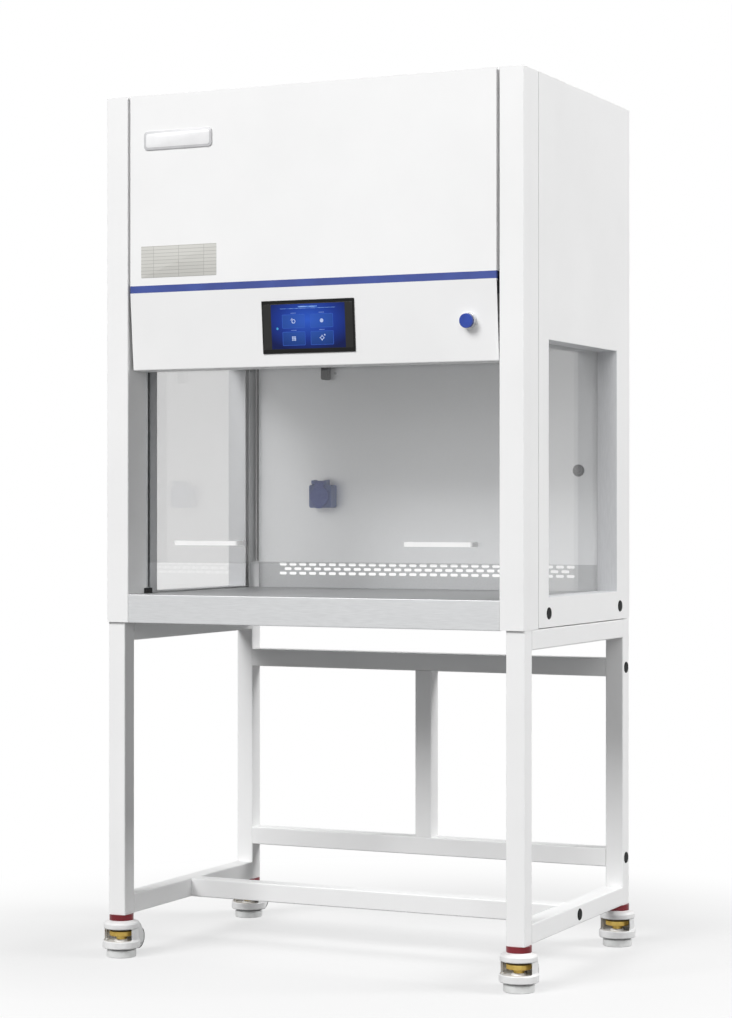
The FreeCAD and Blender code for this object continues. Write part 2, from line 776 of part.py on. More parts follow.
def fan_impeller():
    """Backward-curved fan wheel: back plate with hub, blades and a dished shroud."""
    body = new_body("FanImpeller")
    bore = "shaft_radius + fit"
    turn(body, [
        (bore, IMPELLER_LOW), ("impeller_radius", IMPELLER_LOW), ("impeller_radius", f"{IMPELLER_LOW} + 2"),
        ("20", f"{IMPELLER_LOW} + 2"), ("14", f"{IMPELLER_LOW} + 8"), ("14", f"{IMPELLER_LOW} + 22"),
        (bore, f"{IMPELLER_LOW} + 22"),
    ])
    turn(body, [
        ("impeller_radius", f"{IMPELLER_TOP} - 16"), ("inlet_radius", f"{IMPELLER_TOP} - 6"),
        ("inlet_radius - 6", IMPELLER_TOP), ("inlet_radius - 4", IMPELLER_TOP),
        ("inlet_radius + 2", f"{IMPELLER_TOP} - 4"), ("impeller_radius", f"{IMPELLER_TOP} - 14"),
    ])
    blade = fill(body, "XY_Plane", f"{IMPELLER_LOW} + 1", f"{IMPELLER_TOP} - 15", blade_outline())
    pattern = body.newObject("PartDesign::PolarPattern", "Blades")
    pattern.Originals = [blade]
    pattern.Axis = (blade.Profile[0], ["N_Axis"])
    pattern.Angle = 360
    bind(pattern, "Occurrences", "blade_count")
    body.Tip = pattern
    place(body, y=FAN_Y)
    return node(body, "fan_impeller")


def blade_outline():
    """A thin blade that sweeps back from the inlet to the rim, as two offset arcs in three chords."""
    stations = [("58", 0), ("76", 16), ("93", 30), ("(impeller_radius - 1)", 42)]
    outer = [(f"{radius} * cos({turn_back} * 1deg)", f"{radius} * sin({turn_back} * 1deg)")
             for radius, turn_back in stations]
    inner = [(f"{x} + blade_thick * 0.6", f"{y} - blade_thick * 0.8") for x, y in reversed(outer)]
    return outline(outer + inner)


# Lights and chamber fittings


def uv_lamp():
    """Lamp tube between its two holders, with metal end caps."""
    body = new_body("UvLamp")
    half = "(holder_x - holder_wide / 2)"
    turn(body, [
        ("0", f"-{half}"), ("lamp_radius", f"-{half}"), ("lamp_radius", f"-{half} + 14"),
        ("lamp_radius - 0.4", f"-{half} + 14"), ("lamp_radius - 0.4", f"{half} - 14"),
        ("lamp_radius", f"{half} - 14"), ("lamp_radius", half), ("0", half),
    ])
    place(body, "0", LAMP_Y, "lamp_low", axis=Vector(0, 1, 0), angle="90")
    return node(body, "uv_lamp")


LAMP_Y = f"({REAR_WALL} - holder_deep / 2)"


def lamp_holders():
    """Two dark brackets that hang from the ceiling against the rear wall."""
    pieces = []
    for side in ("left", "right"):
        body = new_body("LampHolder")
        left, right = span(side, "holder_x - holder_wide / 2", "holder_x + holder_wide / 2")
        edge = rect(left, right, "ceiling - holder_high", "ceiling")
        block = fill(body, "XZ_Plane", f"{REAR_WALL} - holder_deep", REAR_WALL, edge)

        def lower_edge(line, whole=block):
            low = whole.Shape.BoundBox.ZMin
            return runs_along(Vector(0, 1, 0))(line) and abs(line.CenterOfMass.z - low) < 0.01

        fillet(body, block, "holder_wide * 0.3", lower_edge)
        pieces.append(body)
    return compound("lamp_holders", pieces)


def light_strip():
    """Low lamp with a sloped lens, under the ceiling behind the control panel."""
    body = new_body("LightStrip")
    near = f"({PLENUM_FRONT} + 10)"
    profile = [
        (near, "ceiling"), (near, "ceiling - strip_high * 0.5"), (f"{near} + 8", "ceiling - strip_high"),
        (f"{near} + strip_wide - 8", "ceiling - strip_high"),
        (f"{near} + strip_wide", "ceiling - strip_high * 0.5"), (f"{near} + strip_wide", "ceiling"),
    ]
    fill(body, "YZ_Plane", "-strip_long / 2", "strip_long / 2", outline(profile))
    return node(body, "light_strip")


SOCKET_FRONT = f"({REAR_WALL} - socket_deep)"
HINGE_Y = f"({SOCKET_FRONT} - lid_thick / 2 - gap)"
HINGE_Z = "(socket_z + hinge_rise)"


def socket_body():
    """Splash-proof socket box with a round cup, two contact holes and a hinge with its pin."""
    body = new_body("SocketBody")
    edge = rect(
        "socket_x - socket_wide / 2", "socket_x + socket_wide / 2",
        "socket_z - socket_high / 2", "socket_z + socket_high / 2",
    )
    block = fill(body, "XZ_Plane", SOCKET_FRONT, REAR_WALL, edge)
    fillet(body, block, "5", runs_along(Vector(0, 1, 0)))
    cup_floor = f"{SOCKET_FRONT} + socket_cup"
    carve(body, "XZ_Plane", SOCKET_FRONT, cup_floor, circle("socket_x", "socket_z", "20"))
    holes = [circle(f"socket_x + {offset}", "socket_z", "2.5") for offset in ("-9.5", "9.5")]
    carve(body, "XZ_Plane", cup_floor, f"{REAR_WALL} - 2", *holes)
    foot = "socket_z + socket_high / 2 - 1"
    ear_profile = [
        (f"{HINGE_Y} - lid_thick / 2", f"{HINGE_Z} - 4"), (f"{HINGE_Y} - lid_thick / 2", f"{HINGE_Z} + 4"),
        (f"{SOCKET_FRONT} + 12", f"{HINGE_Z} + 6"), (f"{SOCKET_FRONT} + 12", foot),
        (f"{SOCKET_FRONT} + gap", foot),
    ]
    for left, right in (("socket_x - 20", "socket_x - 13"), ("socket_x + 13", "socket_x + 20")):
        fill(body, "YZ_Plane", left, right, outline(ear_profile))
    fill(body, "YZ_Plane", "socket_x - 14", "socket_x + 14", circle(HINGE_Y, HINGE_Z, "hinge_pin"))
    return node(body, "socket_body")


def socket_lid():
    """Round flip lid with a knuckle on the hinge pin and a lip to lift it by."""
    body = new_body("SocketLid")
    back = f"({SOCKET_FRONT} - gap)"
    front = f"({SOCKET_FRONT} - gap - lid_thick)"
    disc = fill(body, "XZ_Plane", front, back, circle("socket_x", "socket_z", "lid_radius"))

    def front_rim(edge):
        return abs(edge.CenterOfMass.y - disc.Shape.BoundBox.YMin) < 0.01

    fillet(body, disc, "2.5", front_rim)
    arm = rect("socket_x - 12.5", "socket_x + 12.5", "socket_z + lid_radius - 6", HINGE_Z)
    fill(body, "XZ_Plane", f"{front} + 1.5", f"{back}", arm)
    fill(body, "YZ_Plane", "socket_x - 12.5", "socket_x + 12.5", circle(HINGE_Y, HINGE_Z, "lid_thick / 2"))
    thumb = rect("socket_x - 7", "socket_x + 7", "socket_z - lid_radius - 4", "socket_z - lid_radius + 4")
    fill(body, "XZ_Plane", f"{front} + 1", f"{front} + 4", thumb)
    bore = circle(HINGE_Y, HINGE_Z, "hinge_pin + fit")
    carve(body, "YZ_Plane", "socket_x - 13", "socket_x + 13", bore)
    return node(body, "socket_lid")


def port_grommet():
    """Pass-through bush from the chamber to the back, with a flange at each end."""
    body = new_body("PortGrommet")
    length = f"({BACK} - {REAR_WALL})"
    turn(body, [
        ("port_bore", "-3"), ("port_flange - 1.5", "-3"), ("port_flange", "-1.5"), ("port_flange", "0"),
        ("port_neck", "0"), ("port_neck", length), ("port_flange", length), ("port_flange", f"{length} + 3"),
        ("port_bore", f"{length} + 3"),
    ])
    place(body, "port_x", REAR_WALL, "port_z", axis=Vector(1, 0, 0), angle="-90")
    return node(body, "port_grommet")


def power_inlet():
    """Mains inlet on the rear cover: flange, shroud and three pins."""
    body = new_body("PowerInlet")
    flange = rect("inlet_x - 25", "inlet_x + 25", "inlet_z - 17", "inlet_z + 17")
    fill(body, "XZ_Plane", BACK, f"{BACK} + 2.5", flange)
    box = rect("inlet_x - 21.5", "inlet_x + 21.5", "inlet_z - 14.5", "inlet_z + 14.5")
    fill(body, "XZ_Plane", f"{BACK} - 24", BACK, box)
    mouth = outline([
        ("inlet_x - 12", "inlet_z - 8.5"), ("inlet_x + 12", "inlet_z - 8.5"), ("inlet_x + 12", "inlet_z + 4"),
        ("inlet_x + 8", "inlet_z + 8.5"), ("inlet_x - 8", "inlet_z + 8.5"), ("inlet_x - 12", "inlet_z + 4"),
    ])
    carve(body, "XZ_Plane", f"{BACK} - 14", f"{BACK} + 2.5", mouth)
    for x, z in (("-7", "-2"), ("0", "3"), ("7", "-2")):
        pin = rect(f"inlet_x + {x} - 1", f"inlet_x + {x} + 1", f"inlet_z + {z} - 2", f"inlet_z + {z} + 2")
        fill(body, "XZ_Plane", f"{BACK} - 14", f"{BACK} - 1", pin)
    return node(body, "power_inlet")


# Sash


def sash_guides():
    """Two channels behind the corner posts, in which the glass runs."""
    pieces = []
    for side in ("left", "right"):
        body = new_body("SashGuide")
        left, right = span(side, GUIDE_INNER, WALL_SHELL)
        near = f"{FRONT} + post_deep"
        edge = rect(left, right, near, f"{near} + guide_deep")
        fill(body, "XY_Plane", "worktop_high + bumper_high", "height - 20", edge)
        slot_left, slot_right = span(side, GUIDE_INNER, f"{GLASS_HALF} + sash_play")
        groove = rect(slot_left, slot_right, f"{SASH_FRONT} - sash_play", f"{SASH_REAR} + sash_play")
        carve(body, "XY_Plane", "worktop_high + bumper_high", "height - 20", groove)
        pieces.append(body)
    return compound("sash_guides", pieces)


def sash_glass():
    body = new_body("SashGlass")
    edge = rect(f"-{GLASS_HALF}", GLASS_HALF, "sash_low", "sash_high")
    fill(body, "XZ_Plane", SASH_FRONT, SASH_REAR, edge)
    return node(body, "sash_glass")


def sash_handles():
    """Two bow handles, each a bar on two feet against the glass."""
    pieces = []
    for side in ("-", ""):
        body = new_body("SashHandle")
        middle = f"{side}handle_x"
        bar = f"{SASH_FRONT} - handle_reach"
        left, right = f"{middle} - handle_long / 2", f"{middle} + handle_long / 2"
        inner_left, inner_right = f"{left} + handle_thick", f"{right} - handle_thick"
        inner_bar = f"{bar} + handle_thick"
        path = outline([
            (left, SASH_FRONT), (left, bar), (right, bar), (right, SASH_FRONT), (inner_right, SASH_FRONT),
            (inner_right, inner_bar), (inner_left, inner_bar), (inner_left, SASH_FRONT),
        ])
        bow = fill(body, "XY_Plane", "handle_high - handle_thick / 2", "handle_high + handle_thick / 2", path)

        def outer_corner(edge, whole=bow):
            near = whole.Shape.BoundBox.YMin
            return runs_along(Vector(0, 0, 1))(edge) and abs(edge.CenterOfMass.y - near) < 0.01

        fillet(body, bow, "handle_thick * 0.7", outer_corner)
        pieces.append(body)
    return compound("sash_handles", pieces)


def sash_bumpers():
    """Two rubber end stops on the base pan's edges, at the feet of the guides."""
    pieces = []
    near, step, far = f"{FRONT} + bumper_front", f"{FRONT} + post_deep", f"{FRONT} + bumper_back"
    for side, sign in (("left", "-"), ("right", "")):
        body = new_body("SashBumper")
        inner, post, wall = (f"{sign}{spot}" for spot in (BUMPER_INNER, POST_INNER, WALL_INNER))
        foot = outline([(inner, near), (post, near), (post, step), (wall, step), (wall, far), (inner, far)])
        fill(body, "XY_Plane", "worktop_high - skin", "worktop_high + bumper_high", foot)
        pieces.append(body)
    return compound("sash_bumpers", pieces)


# Stand


TUBE_PLANES = {
    "X": ("YZ_Plane", Vector(1, 0, 0)),
    "Y": ("XZ_Plane", Vector(0, 1, 0)),
    "Z": ("XY_Plane", Vector(0, 0, 1)),
}


def square_tube(along, low, high, across, up, plates=False):
    """A hollow square tube along an axis, round at its long edges, with end plates where rails are bolted."""
    body = new_body("Tube")
    role, direction = TUBE_PLANES[along]
    def square(half):
        return rect(f"{across} - {half}", f"{across} + {half}", f"{up} - {half}", f"{up} + {half}")
    bar = fill(body, role, low, high, square("tube / 2"))
    fillet(body, bar, "tube_round", runs_along(direction))
    carve(body, role, low, high, square("(tube / 2 - tube_wall)"))
    if plates:
        hole = circle(across, up, "bolt_radius + fit")
        for start, end in ((low, f"{low} + end_plate"), (f"{high} - end_plate", high)):
            fill(body, role, start, end, square("(tube / 2 - tube_wall)"), hole)
    return body


def rail_middles():
    """Y and Z of the middle line of each rail that is bolted between the side frames."""
    return [
        (LEG_Y_BACK, "(rail_high - tube / 2)"),
        (LEG_Y_BACK, "(rail_low - tube / 2)"),
        (CROSS_Y, "(leg_bottom + tube / 2)"),
    ]


def side_frame(side):
    """Welded side frame: two legs and two rails, drilled for the bolts and their access plugs."""
    x = LEG_X if side == "right" else f"-{LEG_X}"
    legs = [square_tube("Z", "leg_bottom", "stand_top", x, y) for y in (LEG_Y_FRONT, LEG_Y_BACK)]
    rail_ends = (f"{LEG_Y_FRONT} + tube / 2", f"{LEG_Y_BACK} - tube / 2")
    rail_heights = ("(stand_top - tube / 2)", "(leg_bottom + tube / 2)")
    rails = [square_tube("Y", *rail_ends, x, z) for z in rail_heights]
    frame = doc.addObject("Part::MultiFuse", "SideFrame")
    frame.Shapes = legs + rails
    drills = []
    for y, z in rail_middles():
        inner, outer = span(side, f"{LEG_X} - tube / 2", LEG_X)
        drill = new_body("BoltDrill")
        fill(drill, "YZ_Plane", inner, outer, circle(y, z, "bolt_radius + fit"))
        inner, outer = span(side, LEG_X, f"{LEG_X} + tube / 2")
        access = new_body("AccessDrill")
        fill(access, "YZ_Plane", inner, outer, circle(y, z, "access_radius"))
        drills += [drill, access]
    holes = doc.addObject("Part::Compound", "FrameHoles")
    holes.Links = drills
    drilled = doc.addObject("Part::Cut", "DrilledFrame")
    drilled.Base = frame
    drilled.Tool = holes
    return node(drilled, f"side_frame_{side}")


def rear_frame():
    """Welded rear frame: upper and lower rail with a post between them."""
    ends = (f"-{LEG_X} + tube / 2", f"{LEG_X} - tube / 2")
    rails = [square_tube("X", *ends, y, z, plates=True) for y, z in rail_middles()[:2]]
    post = square_tube("Z", "rail_low", "rail_high - tube", "0", LEG_Y_BACK)
    frame = doc.addObject("Part::MultiFuse", "RearFrame")
    frame.Shapes = rails + [post]
    return node(frame, "rear_frame")


def bottom_rail():
    y, z = rail_middles()[2]
    rail = square_tube("X", f"-{LEG_X} + tube / 2", f"{LEG_X} - tube / 2", y, z, plates=True)
    return node(rail, "bottom_rail")


def turned_along_x(name, side, x, y, z, profile):
    """A turned piece whose own Z axis points outward along X."""
    body = new_body(name)
    turn(body, profile)
    sign = "" if side == "right" else "-"
    place(body, f"{sign}({x})", y, z, axis=Vector(0, 1, 0), angle=f"{sign}90")
    return body


def access_plugs():
    """Black push-in plugs over the holes in the side panels and the stand's frames."""
    profile = [
        ("0", "-plug_stem"), ("access_radius - 1", "-plug_stem"), ("access_radius", "-plug_stem + 2"),
        ("access_radius", "0"), ("plug_radius", "0"), ("plug_radius - 1", "plug_lip"), ("0", "plug_lip"),
    ]
    pieces = []
    for side in ("left", "right"):
        spots = [(HALF, y, z) for y, z in plug_spots()]
        spots += [(f"{LEG_X} + tube / 2", y, z) for y, z in rail_middles()]
        pieces += [turned_along_x("AccessPlug", side, x, y, z, profile) for x, y, z in spots]
    return compound("access_plugs", pieces)


def frame_bolts():
    """Cap screws inside the side frames, which hold the rails on."""
    profile = [
        ("0", "-bolt_long"), ("bolt_radius", "-bolt_long"), ("bolt_radius", "0"), ("bolt_head", "0"),
        ("bolt_head", "bolt_head_high"), ("0", "bolt_head_high"),
    ]
    seat = f"{LEG_X} - tube / 2 + tube_wall"
    pieces = [
        turned_along_x("FrameBolt", side, seat, y, z, profile)
        for side in ("left", "right") for y, z in rail_middles()
    ]
    return compound("frame_bolts", pieces)


# Levelling casters


CORNERS = {
    "front_left": (f"-{LEG_X}", LEG_Y_FRONT),
    "front_right": (LEG_X, LEG_Y_FRONT),
    "rear_left": (f"-{LEG_X}", LEG_Y_BACK),
    "rear_right": (LEG_X, LEG_Y_BACK),
}


def caster_collars():
    """Red collars: a square insert up the leg, a disc under it and the swivel pin with its head."""
    pieces = []
    insert = "(tube / 2 - tube_wall - gap)"
    for x, y in CORNERS.values():
        body = new_body("CasterCollar")
        turn(body, [
            ("0", "plate_low - 3.7"), ("swivel_head", "plate_low - 3.7"), ("swivel_head", "plate_low - gap"),
            ("swivel_pin", "plate_low - gap"), ("swivel_pin", "plate_high + gap"),
            ("collar_red", "plate_high + gap"), ("collar_red", "leg_bottom"), ("0", "leg_bottom"),
        ])
        square = rect(f"-{insert}", insert, f"-{insert}", insert)
        fill(body, "XY_Plane", "leg_bottom", "leg_bottom + insert_high", square)
        place(body, x, y)
        pieces.append(body)
    return compound("caster_collars", pieces)


def caster_housing(corner):
    """Swivel housing: plate and ring joined by a drum with a window, and a fork for the wheel behind."""
    body = new_body("CasterHousing")
    bore = "swivel_pin + fit"
    turn(body, [
        (bore, "plate_low"), (bore, "plate_high"), ("collar_red", "plate_high"),
        ("plate_radius - 3", "plate_high - 4"), ("plate_radius", "plate_high - 8"),
        ("plate_radius", "plate_low - 2"), ("plate_radius - 2", "plate_low - 6"),
        ("plate_radius - 2", "ring_high + 4"), ("ring_radius", "ring_high - 1"),
        ("ring_radius", "ring_low + 2"),
        ("ring_radius - 2", "ring_low"), ("pad_radius + recess_play", "ring_low"),
        ("pad_radius + recess_play", "recess_high"), ("thread_radius + fit", "recess_high"),
        ("thread_radius + fit", "bush_high"), ("bush_radius", "bush_high"), ("bush_radius + 2", "floor_high"),
        ("bowl_radius - 6", "floor_high"), ("bowl_radius - 1", "ring_high + 4"),
        ("bowl_radius - 2", "plate_low"),
    ])
    fork = [
        ("bowl_radius - 6", "plate_high - 5"), ("ring_radius", "plate_high - 7"),
        (f"{WHEEL_TRAIL} - 3", f"{AXLE_Z} + 32"), (f"{WHEEL_TRAIL} + 5", f"{AXLE_Z} + 20"),
        (f"{WHEEL_TRAIL} + 9", f"{AXLE_Z} + 8"), (f"{WHEEL_TRAIL} + 8", f"{AXLE_Z} - 6"),
        (WHEEL_TRAIL, f"{AXLE_Z} - 12"), (f"{WHEEL_TRAIL} - 9", f"{AXLE_Z} - 10"),
        ("ring_radius", "recess_high"), ("bowl_radius - 6", "recess_high"),
    ]
    fill(body, "YZ_Plane", "-fork_half", "fork_half", outline(fork))
    window = rect("-bowl_radius + 1", "bowl_radius - 1", "-ring_radius - 1", "-8")
    carve(body, "XY_Plane", "ring_high + 1", "plate_low - 4", window)
    tunnel = circle(WHEEL_TRAIL, AXLE_Z, "wheel_radius + wheel_room")
    carve(body, "YZ_Plane", "-fork_half + fork_wall", "fork_half - fork_wall", tunnel)
    fill(body, "YZ_Plane", "-fork_half", "fork_half", circle(WHEEL_TRAIL, AXLE_Z, "axle_radius"))
    place(body, *CORNERS[corner])
    return node(body, f"caster_housing_{corner}")


def thumb_wheel(corner):
    """Nut with a broad rim, turned by thumb to drive the pad."""
    body = new_body("ThumbWheel")
    bore = "thread_radius + fit"
    disc = turn(body, [
        (bore, "bush_high + gap"), ("hub_radius", "bush_high + gap"), ("hub_radius", "thumb_low"),
        ("thumb_radius", "thumb_low"), ("thumb_radius", "thumb_high"), (bore, "thumb_high"),
    ])

    def rim(edge):
        return edge.BoundBox.XLength > 2 * size_of("thumb_radius") - 1 and edge.BoundBox.YLength > 1

    fillet(body, disc, "1.5", rim)
    place(body, *CORNERS[corner])
    return node(body, f"thumb_wheel_{corner}")


def level_pad(corner):
    """Levelling foot with its threaded stem."""
    body = new_body("LevelPad")
    turn(body, [
        ("0", "0"), ("pad_radius - 1", "0"), ("pad_radius", "1"), ("pad_radius", "pad_high - 4"),
        ("pad_radius - 2", "pad_high"), ("thread_radius", "pad_high"), ("thread_radius", "pad_stem"),
        ("0", "pad_stem"),
    ])
    place(body, *CORNERS[corner])
    return node(body, f"level_pad_{corner}")


def caster_wheel(corner):
    """Small wheel with a crowned tread and dished sides, on the housing's axle."""
    body = new_body("CasterWheel")
    tread = [
        ("axle_radius + fit", "wheel_half - 1"), ("9", "wheel_half - 1"), ("11", "wheel_half - 3"),
        ("wheel_radius - 6", "wheel_half - 3"), ("wheel_radius - 4", "wheel_half"),
        ("wheel_radius - 2", "wheel_half"), ("wheel_radius", "wheel_half - 4"),
    ]
    turn(body, [(radius, f"-({level})") for radius, level in tread] + tread[::-1])
    x, y = CORNERS[corner]
    place(body, x, f"{y} + {WHEEL_TRAIL}", AXLE_Z, axis=Vector(0, 1, 0), angle="90")
    return node(body, f"caster_wheel_{corner}")


def build():
    for side in ("left", "right"):
        corner_post(side)
        side_panel(side)
        side_liner(side)
        side_window(side)
        side_frame(side)
    for make in (
        front_panel, blue_stripe, control_panel, touch_screen, switch_collar, power_button, top_cover,
        prefilter, rear_panel, rear_inner_wall, perforated_panel, worktop, base_pan, diffuser, hepa_filter,
        fan_deck, fan_motor, fan_impeller, uv_lamp, lamp_holders, light_strip, socket_body, socket_lid,
        port_grommet, power_inlet, sash_guides, sash_glass, sash_handles, sash_bumpers, rear_frame,
        bottom_rail, access_plugs, frame_bolts, caster_collars,
    ):
        make()
    for corner in CORNERS:
        caster_housing(corner)
        thumb_wheel(corner)
        level_pad(corner)
        caster_wheel(corner)
    doc.recompute()


def check():
    """Stops the run if a feature failed, cut or added nothing, or a piece is not sound."""
    for thing in doc.Objects:
        if {"Invalid", "Error"} & set(thing.State):
            raise SystemExit(f"{thing.Name} ({thing.Label}) failed: {thing.State}")
        if thing.TypeId in ("PartDesign::Pocket", "PartDesign::Pad") and thing.BaseFeature:
            change = thing.Shape.Volume - thing.BaseFeature.Shape.Volume
            if change * (1 if thing.TypeId == "PartDesign::Pad" else -1) < 0.5:
                raise SystemExit(f"{thing.Name} of {thing.getParentGeoFeatureGroup().Label} changes nothing")
    for piece in nodes:
        if piece.Shape.isNull() or not piece.Shape.isValid() or not piece.Shape.Solids:
            raise SystemExit(f"{piece.Label} has no sound shape")


def write():
    os.makedirs("parts", exist_ok=True)
    for piece in nodes:
        piece.Shape.exportStep(f"parts/{piece.Label}.step")
    print(len(nodes), "pieces written")


build()
check()
write()
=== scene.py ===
"""A vertical laminar flow cabinet on its open stand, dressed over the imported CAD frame.

Metres, in the frame of the CAD part: +Z up from the floor, -Y the front, +X to the right of the user.
Shapes are given in millimetres and brought to metres where they are made.
"""
import json
import math

import bmesh
import bpy
from mathutils import Matrix, Vector


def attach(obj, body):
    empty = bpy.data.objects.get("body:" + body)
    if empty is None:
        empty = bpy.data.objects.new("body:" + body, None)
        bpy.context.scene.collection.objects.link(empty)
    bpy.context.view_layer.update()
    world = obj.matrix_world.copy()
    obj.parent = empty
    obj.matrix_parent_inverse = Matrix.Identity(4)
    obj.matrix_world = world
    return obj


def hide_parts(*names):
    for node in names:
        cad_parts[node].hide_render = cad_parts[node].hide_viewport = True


MM = 0.001
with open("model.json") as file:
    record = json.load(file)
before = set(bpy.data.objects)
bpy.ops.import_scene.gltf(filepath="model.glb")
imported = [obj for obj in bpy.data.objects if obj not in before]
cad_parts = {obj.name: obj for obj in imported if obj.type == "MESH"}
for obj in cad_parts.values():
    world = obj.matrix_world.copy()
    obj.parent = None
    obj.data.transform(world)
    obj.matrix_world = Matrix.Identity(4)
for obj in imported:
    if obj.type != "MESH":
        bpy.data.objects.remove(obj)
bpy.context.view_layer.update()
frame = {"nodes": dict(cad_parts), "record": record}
nodes = frame["nodes"]


# Materials


def linear(hex_colour):
    """An sRGB hex colour as the linear values that a shader takes, with full alpha."""
    channels = [int(hex_colour[i:i + 2], 16) / 255 for i in (0, 2, 4)]
    return [c / 12.92 if c <= 0.04045 else ((c + 0.055) / 1.055) ** 2.4 for c in channels] + [1.0]


def add(tree, kind, links=None, **settings):
    """Adds a node: settings name its properties or sockets, and links join sockets to other nodes' outputs."""
    new = tree.nodes.new(f"ShaderNode{kind}")
    for name, value in settings.items():
        if hasattr(new, name):
            setattr(new, name, value)
        else:
            new.inputs[name.replace("_", " ")].default_value = value
    for name, output in (links or {}).items():
        tree.links.new(output, new.inputs[name])
    return new


def new_material(name):
    """A material with its node tree and the surface shader that it starts with."""
    material = bpy.data.materials.new(name)
    material.use_nodes = True
    tree = material.node_tree
    return material, tree, tree.nodes["Principled BSDF"]


def plain(shader, colour, roughness, metallic=0.0, **sockets):
    """Sets what is the same all over a surface on the shader's own sockets."""
    shader.inputs["Base Color"].default_value = linear(colour)
    shader.inputs["Roughness"].default_value = roughness
    shader.inputs["Metallic"].default_value = metallic
    for name, value in sockets.items():
        shader.inputs[name.replace("_", " ")].default_value = value


def object_space(tree, stretch=(1, 1, 1), turn=(0, 0, 0), shift=(0, 0, 0)):
    """Object coordinates in metres, stretched for a grain, then turned and shifted."""
    place = add(tree, "TexCoord")
    return add(tree, "Mapping", {"Vector": place.outputs["Object"]}, Scale=stretch, Rotation=turn,
               Location=shift).outputs["Vector"]


def grain(tree, shader, size_mm, height_mm, stretch=(1, 1, 1), *, detail, strength):
    """Bump from noise whose features are about size_mm across."""
    noise = add(tree, "TexNoise", {"Vector": object_space(tree, stretch)}, Scale=1000 / size_mm, Detail=detail)
    bump = add(tree, "Bump", {"Height": noise.outputs["Fac"]}, Strength=strength, Distance=height_mm * MM)
    tree.links.new(bump.outputs["Normal"], shader.inputs["Normal"])
    return noise


def blend_tones(tree, shader, value, dark, light, low, high):
    """Base colour that goes from a dark to a light tone with a value."""
    ramp = add(tree, "ValToRGB", {"Fac": value})
    ramp.color_ramp.elements[0].position = low
    ramp.color_ramp.elements[1].position = high
    ramp.color_ramp.elements[0].color = linear(dark)
    ramp.color_ramp.elements[1].color = linear(light)
    tree.links.new(ramp.outputs["Color"], shader.inputs["Base Color"])
    return ramp


def tone(tree, shader, dark, light, size_mm, stretch=(1, 1, 1), detail=4.0, low=0.35, high=0.65):
    """Colour that drifts between two near tones over patches about size_mm across."""
    noise = add(tree, "TexNoise", {"Vector": object_space(tree, stretch)}, Scale=1000 / size_mm, Detail=detail)
    return blend_tones(tree, shader, noise.outputs["Fac"], dark, light, low, high)


def vary_gloss(tree, shader, noise, roughness, spread):
    """Roughness that goes a little up and down with a noise, as handling and rolling leave it."""
    range_ = add(tree, "MapRange", {"Value": noise.outputs["Fac"]}, To_Min=roughness - spread,
                 To_Max=roughness + spread)
    tree.links.new(range_.outputs["Result"], shader.inputs["Roughness"])


def powder_coat(name, dark, light, roughness):
    """Polyester powder, sprayed and baked: white, satin, with a faint orange peel of about 2 mm."""
    material, tree, shader = new_material(name)
    plain(shader, light, roughness)
    tone(tree, shader, dark, light, 220)
    peel = grain(tree, shader, 2.2, 0.012, detail=1.0, strength=0.35)
    vary_gloss(tree, shader, peel, roughness, 0.04)
    return material


def enamel(name, dark, light, roughness=0.35, metallic=0.0):
    """Sprayed enamel: an even colour with a faint orange peel."""
    material, tree, shader = new_material(name)
    plain(shader, light, roughness, metallic)
    tone(tree, shader, dark, light, 60)
    peel = grain(tree, shader, 1.8, 0.01, detail=1.0, strength=0.3)
    vary_gloss(tree, shader, peel, roughness, 0.04)
    return material


STREAK = 1.6  # mm, across the scratches of the belt


def ground_stainless(name, dark, light, roughness, metallic, stretch, edge="FFFFFF"):
    """Stainless sheet, belt-ground one way: short fine streaks in tone and gloss along the grain.

    The edge tone dims it where it is seen at a low angle, to match the worktop's tone in the photograph.
    """
    material, tree, shader = new_material(name)
    plain(shader, light, roughness, metallic, Specular_Tint=linear(edge))
    tone(tree, shader, dark, light, STREAK, stretch, detail=3.0, low=0.25, high=0.75)
    streaks = grain(tree, shader, STREAK, 0.003, stretch, detail=3.0, strength=0.2)
    vary_gloss(tree, shader, streaks, roughness, 0.04)
    return material


def satin_wall(name, dark, light, roughness=0.46):
    """Stainless sheet with a cold-rolled matt finish: it scatters the room it faces, with a speckle of about 3 mm."""
    material, tree, shader = new_material(name)
    plain(shader, light, roughness, 0.82)
    tone(tree, shader, dark, light, 3.0, detail=3.0, low=0.3, high=0.7)
    speckle = grain(tree, shader, 2.4, 0.006, detail=2.0, strength=0.12)
    vary_gloss(tree, shader, speckle, roughness, 0.05)
    return material


def galvanised(name, spangle_mm):
    """Zinc-coated sheet: a spangle of flat crystals, each a slightly different grey."""
    material, tree, shader = new_material(name)
    plain(shader, "A7AAAD", 0.5, 0.5)
    crystals = add(tree, "TexVoronoi", {"Vector": object_space(tree)}, Scale=1000 / spangle_mm)
    blend_tones(tree, shader, crystals.outputs["Color"], "9A9DA0", "B4B7BA", 0.0, 1.0)
    grain(tree, shader, spangle_mm, 0.01, detail=1.0, strength=0.3)
    return material


def perforated_steel(name, face, hole, pitch_mm):
    """Punched stainless sheet: rows of holes, half as wide as their pitch, in a satin face, the holes painted dark
    for the shade seen through them.
    """
    material, tree, shader = new_material(name)
    plain(shader, face, 0.46, 0.6)
    holes = add(tree, "TexVoronoi", {"Vector": object_space(tree)}, voronoi_dimensions="2D", Scale=1000 / pitch_mm,
                Randomness=0.0)
    # The holes take the dark colour: painted shade.
    blend_tones(tree, shader, holes.outputs["Distance"], hole, face, 0.23, 0.27)
    bump = add(tree, "Bump", {"Height": holes.outputs["Distance"]}, Strength=0.4, Distance=0.4 * MM)
    tree.links.new(bump.outputs["Normal"], shader.inputs["Normal"])
    return material


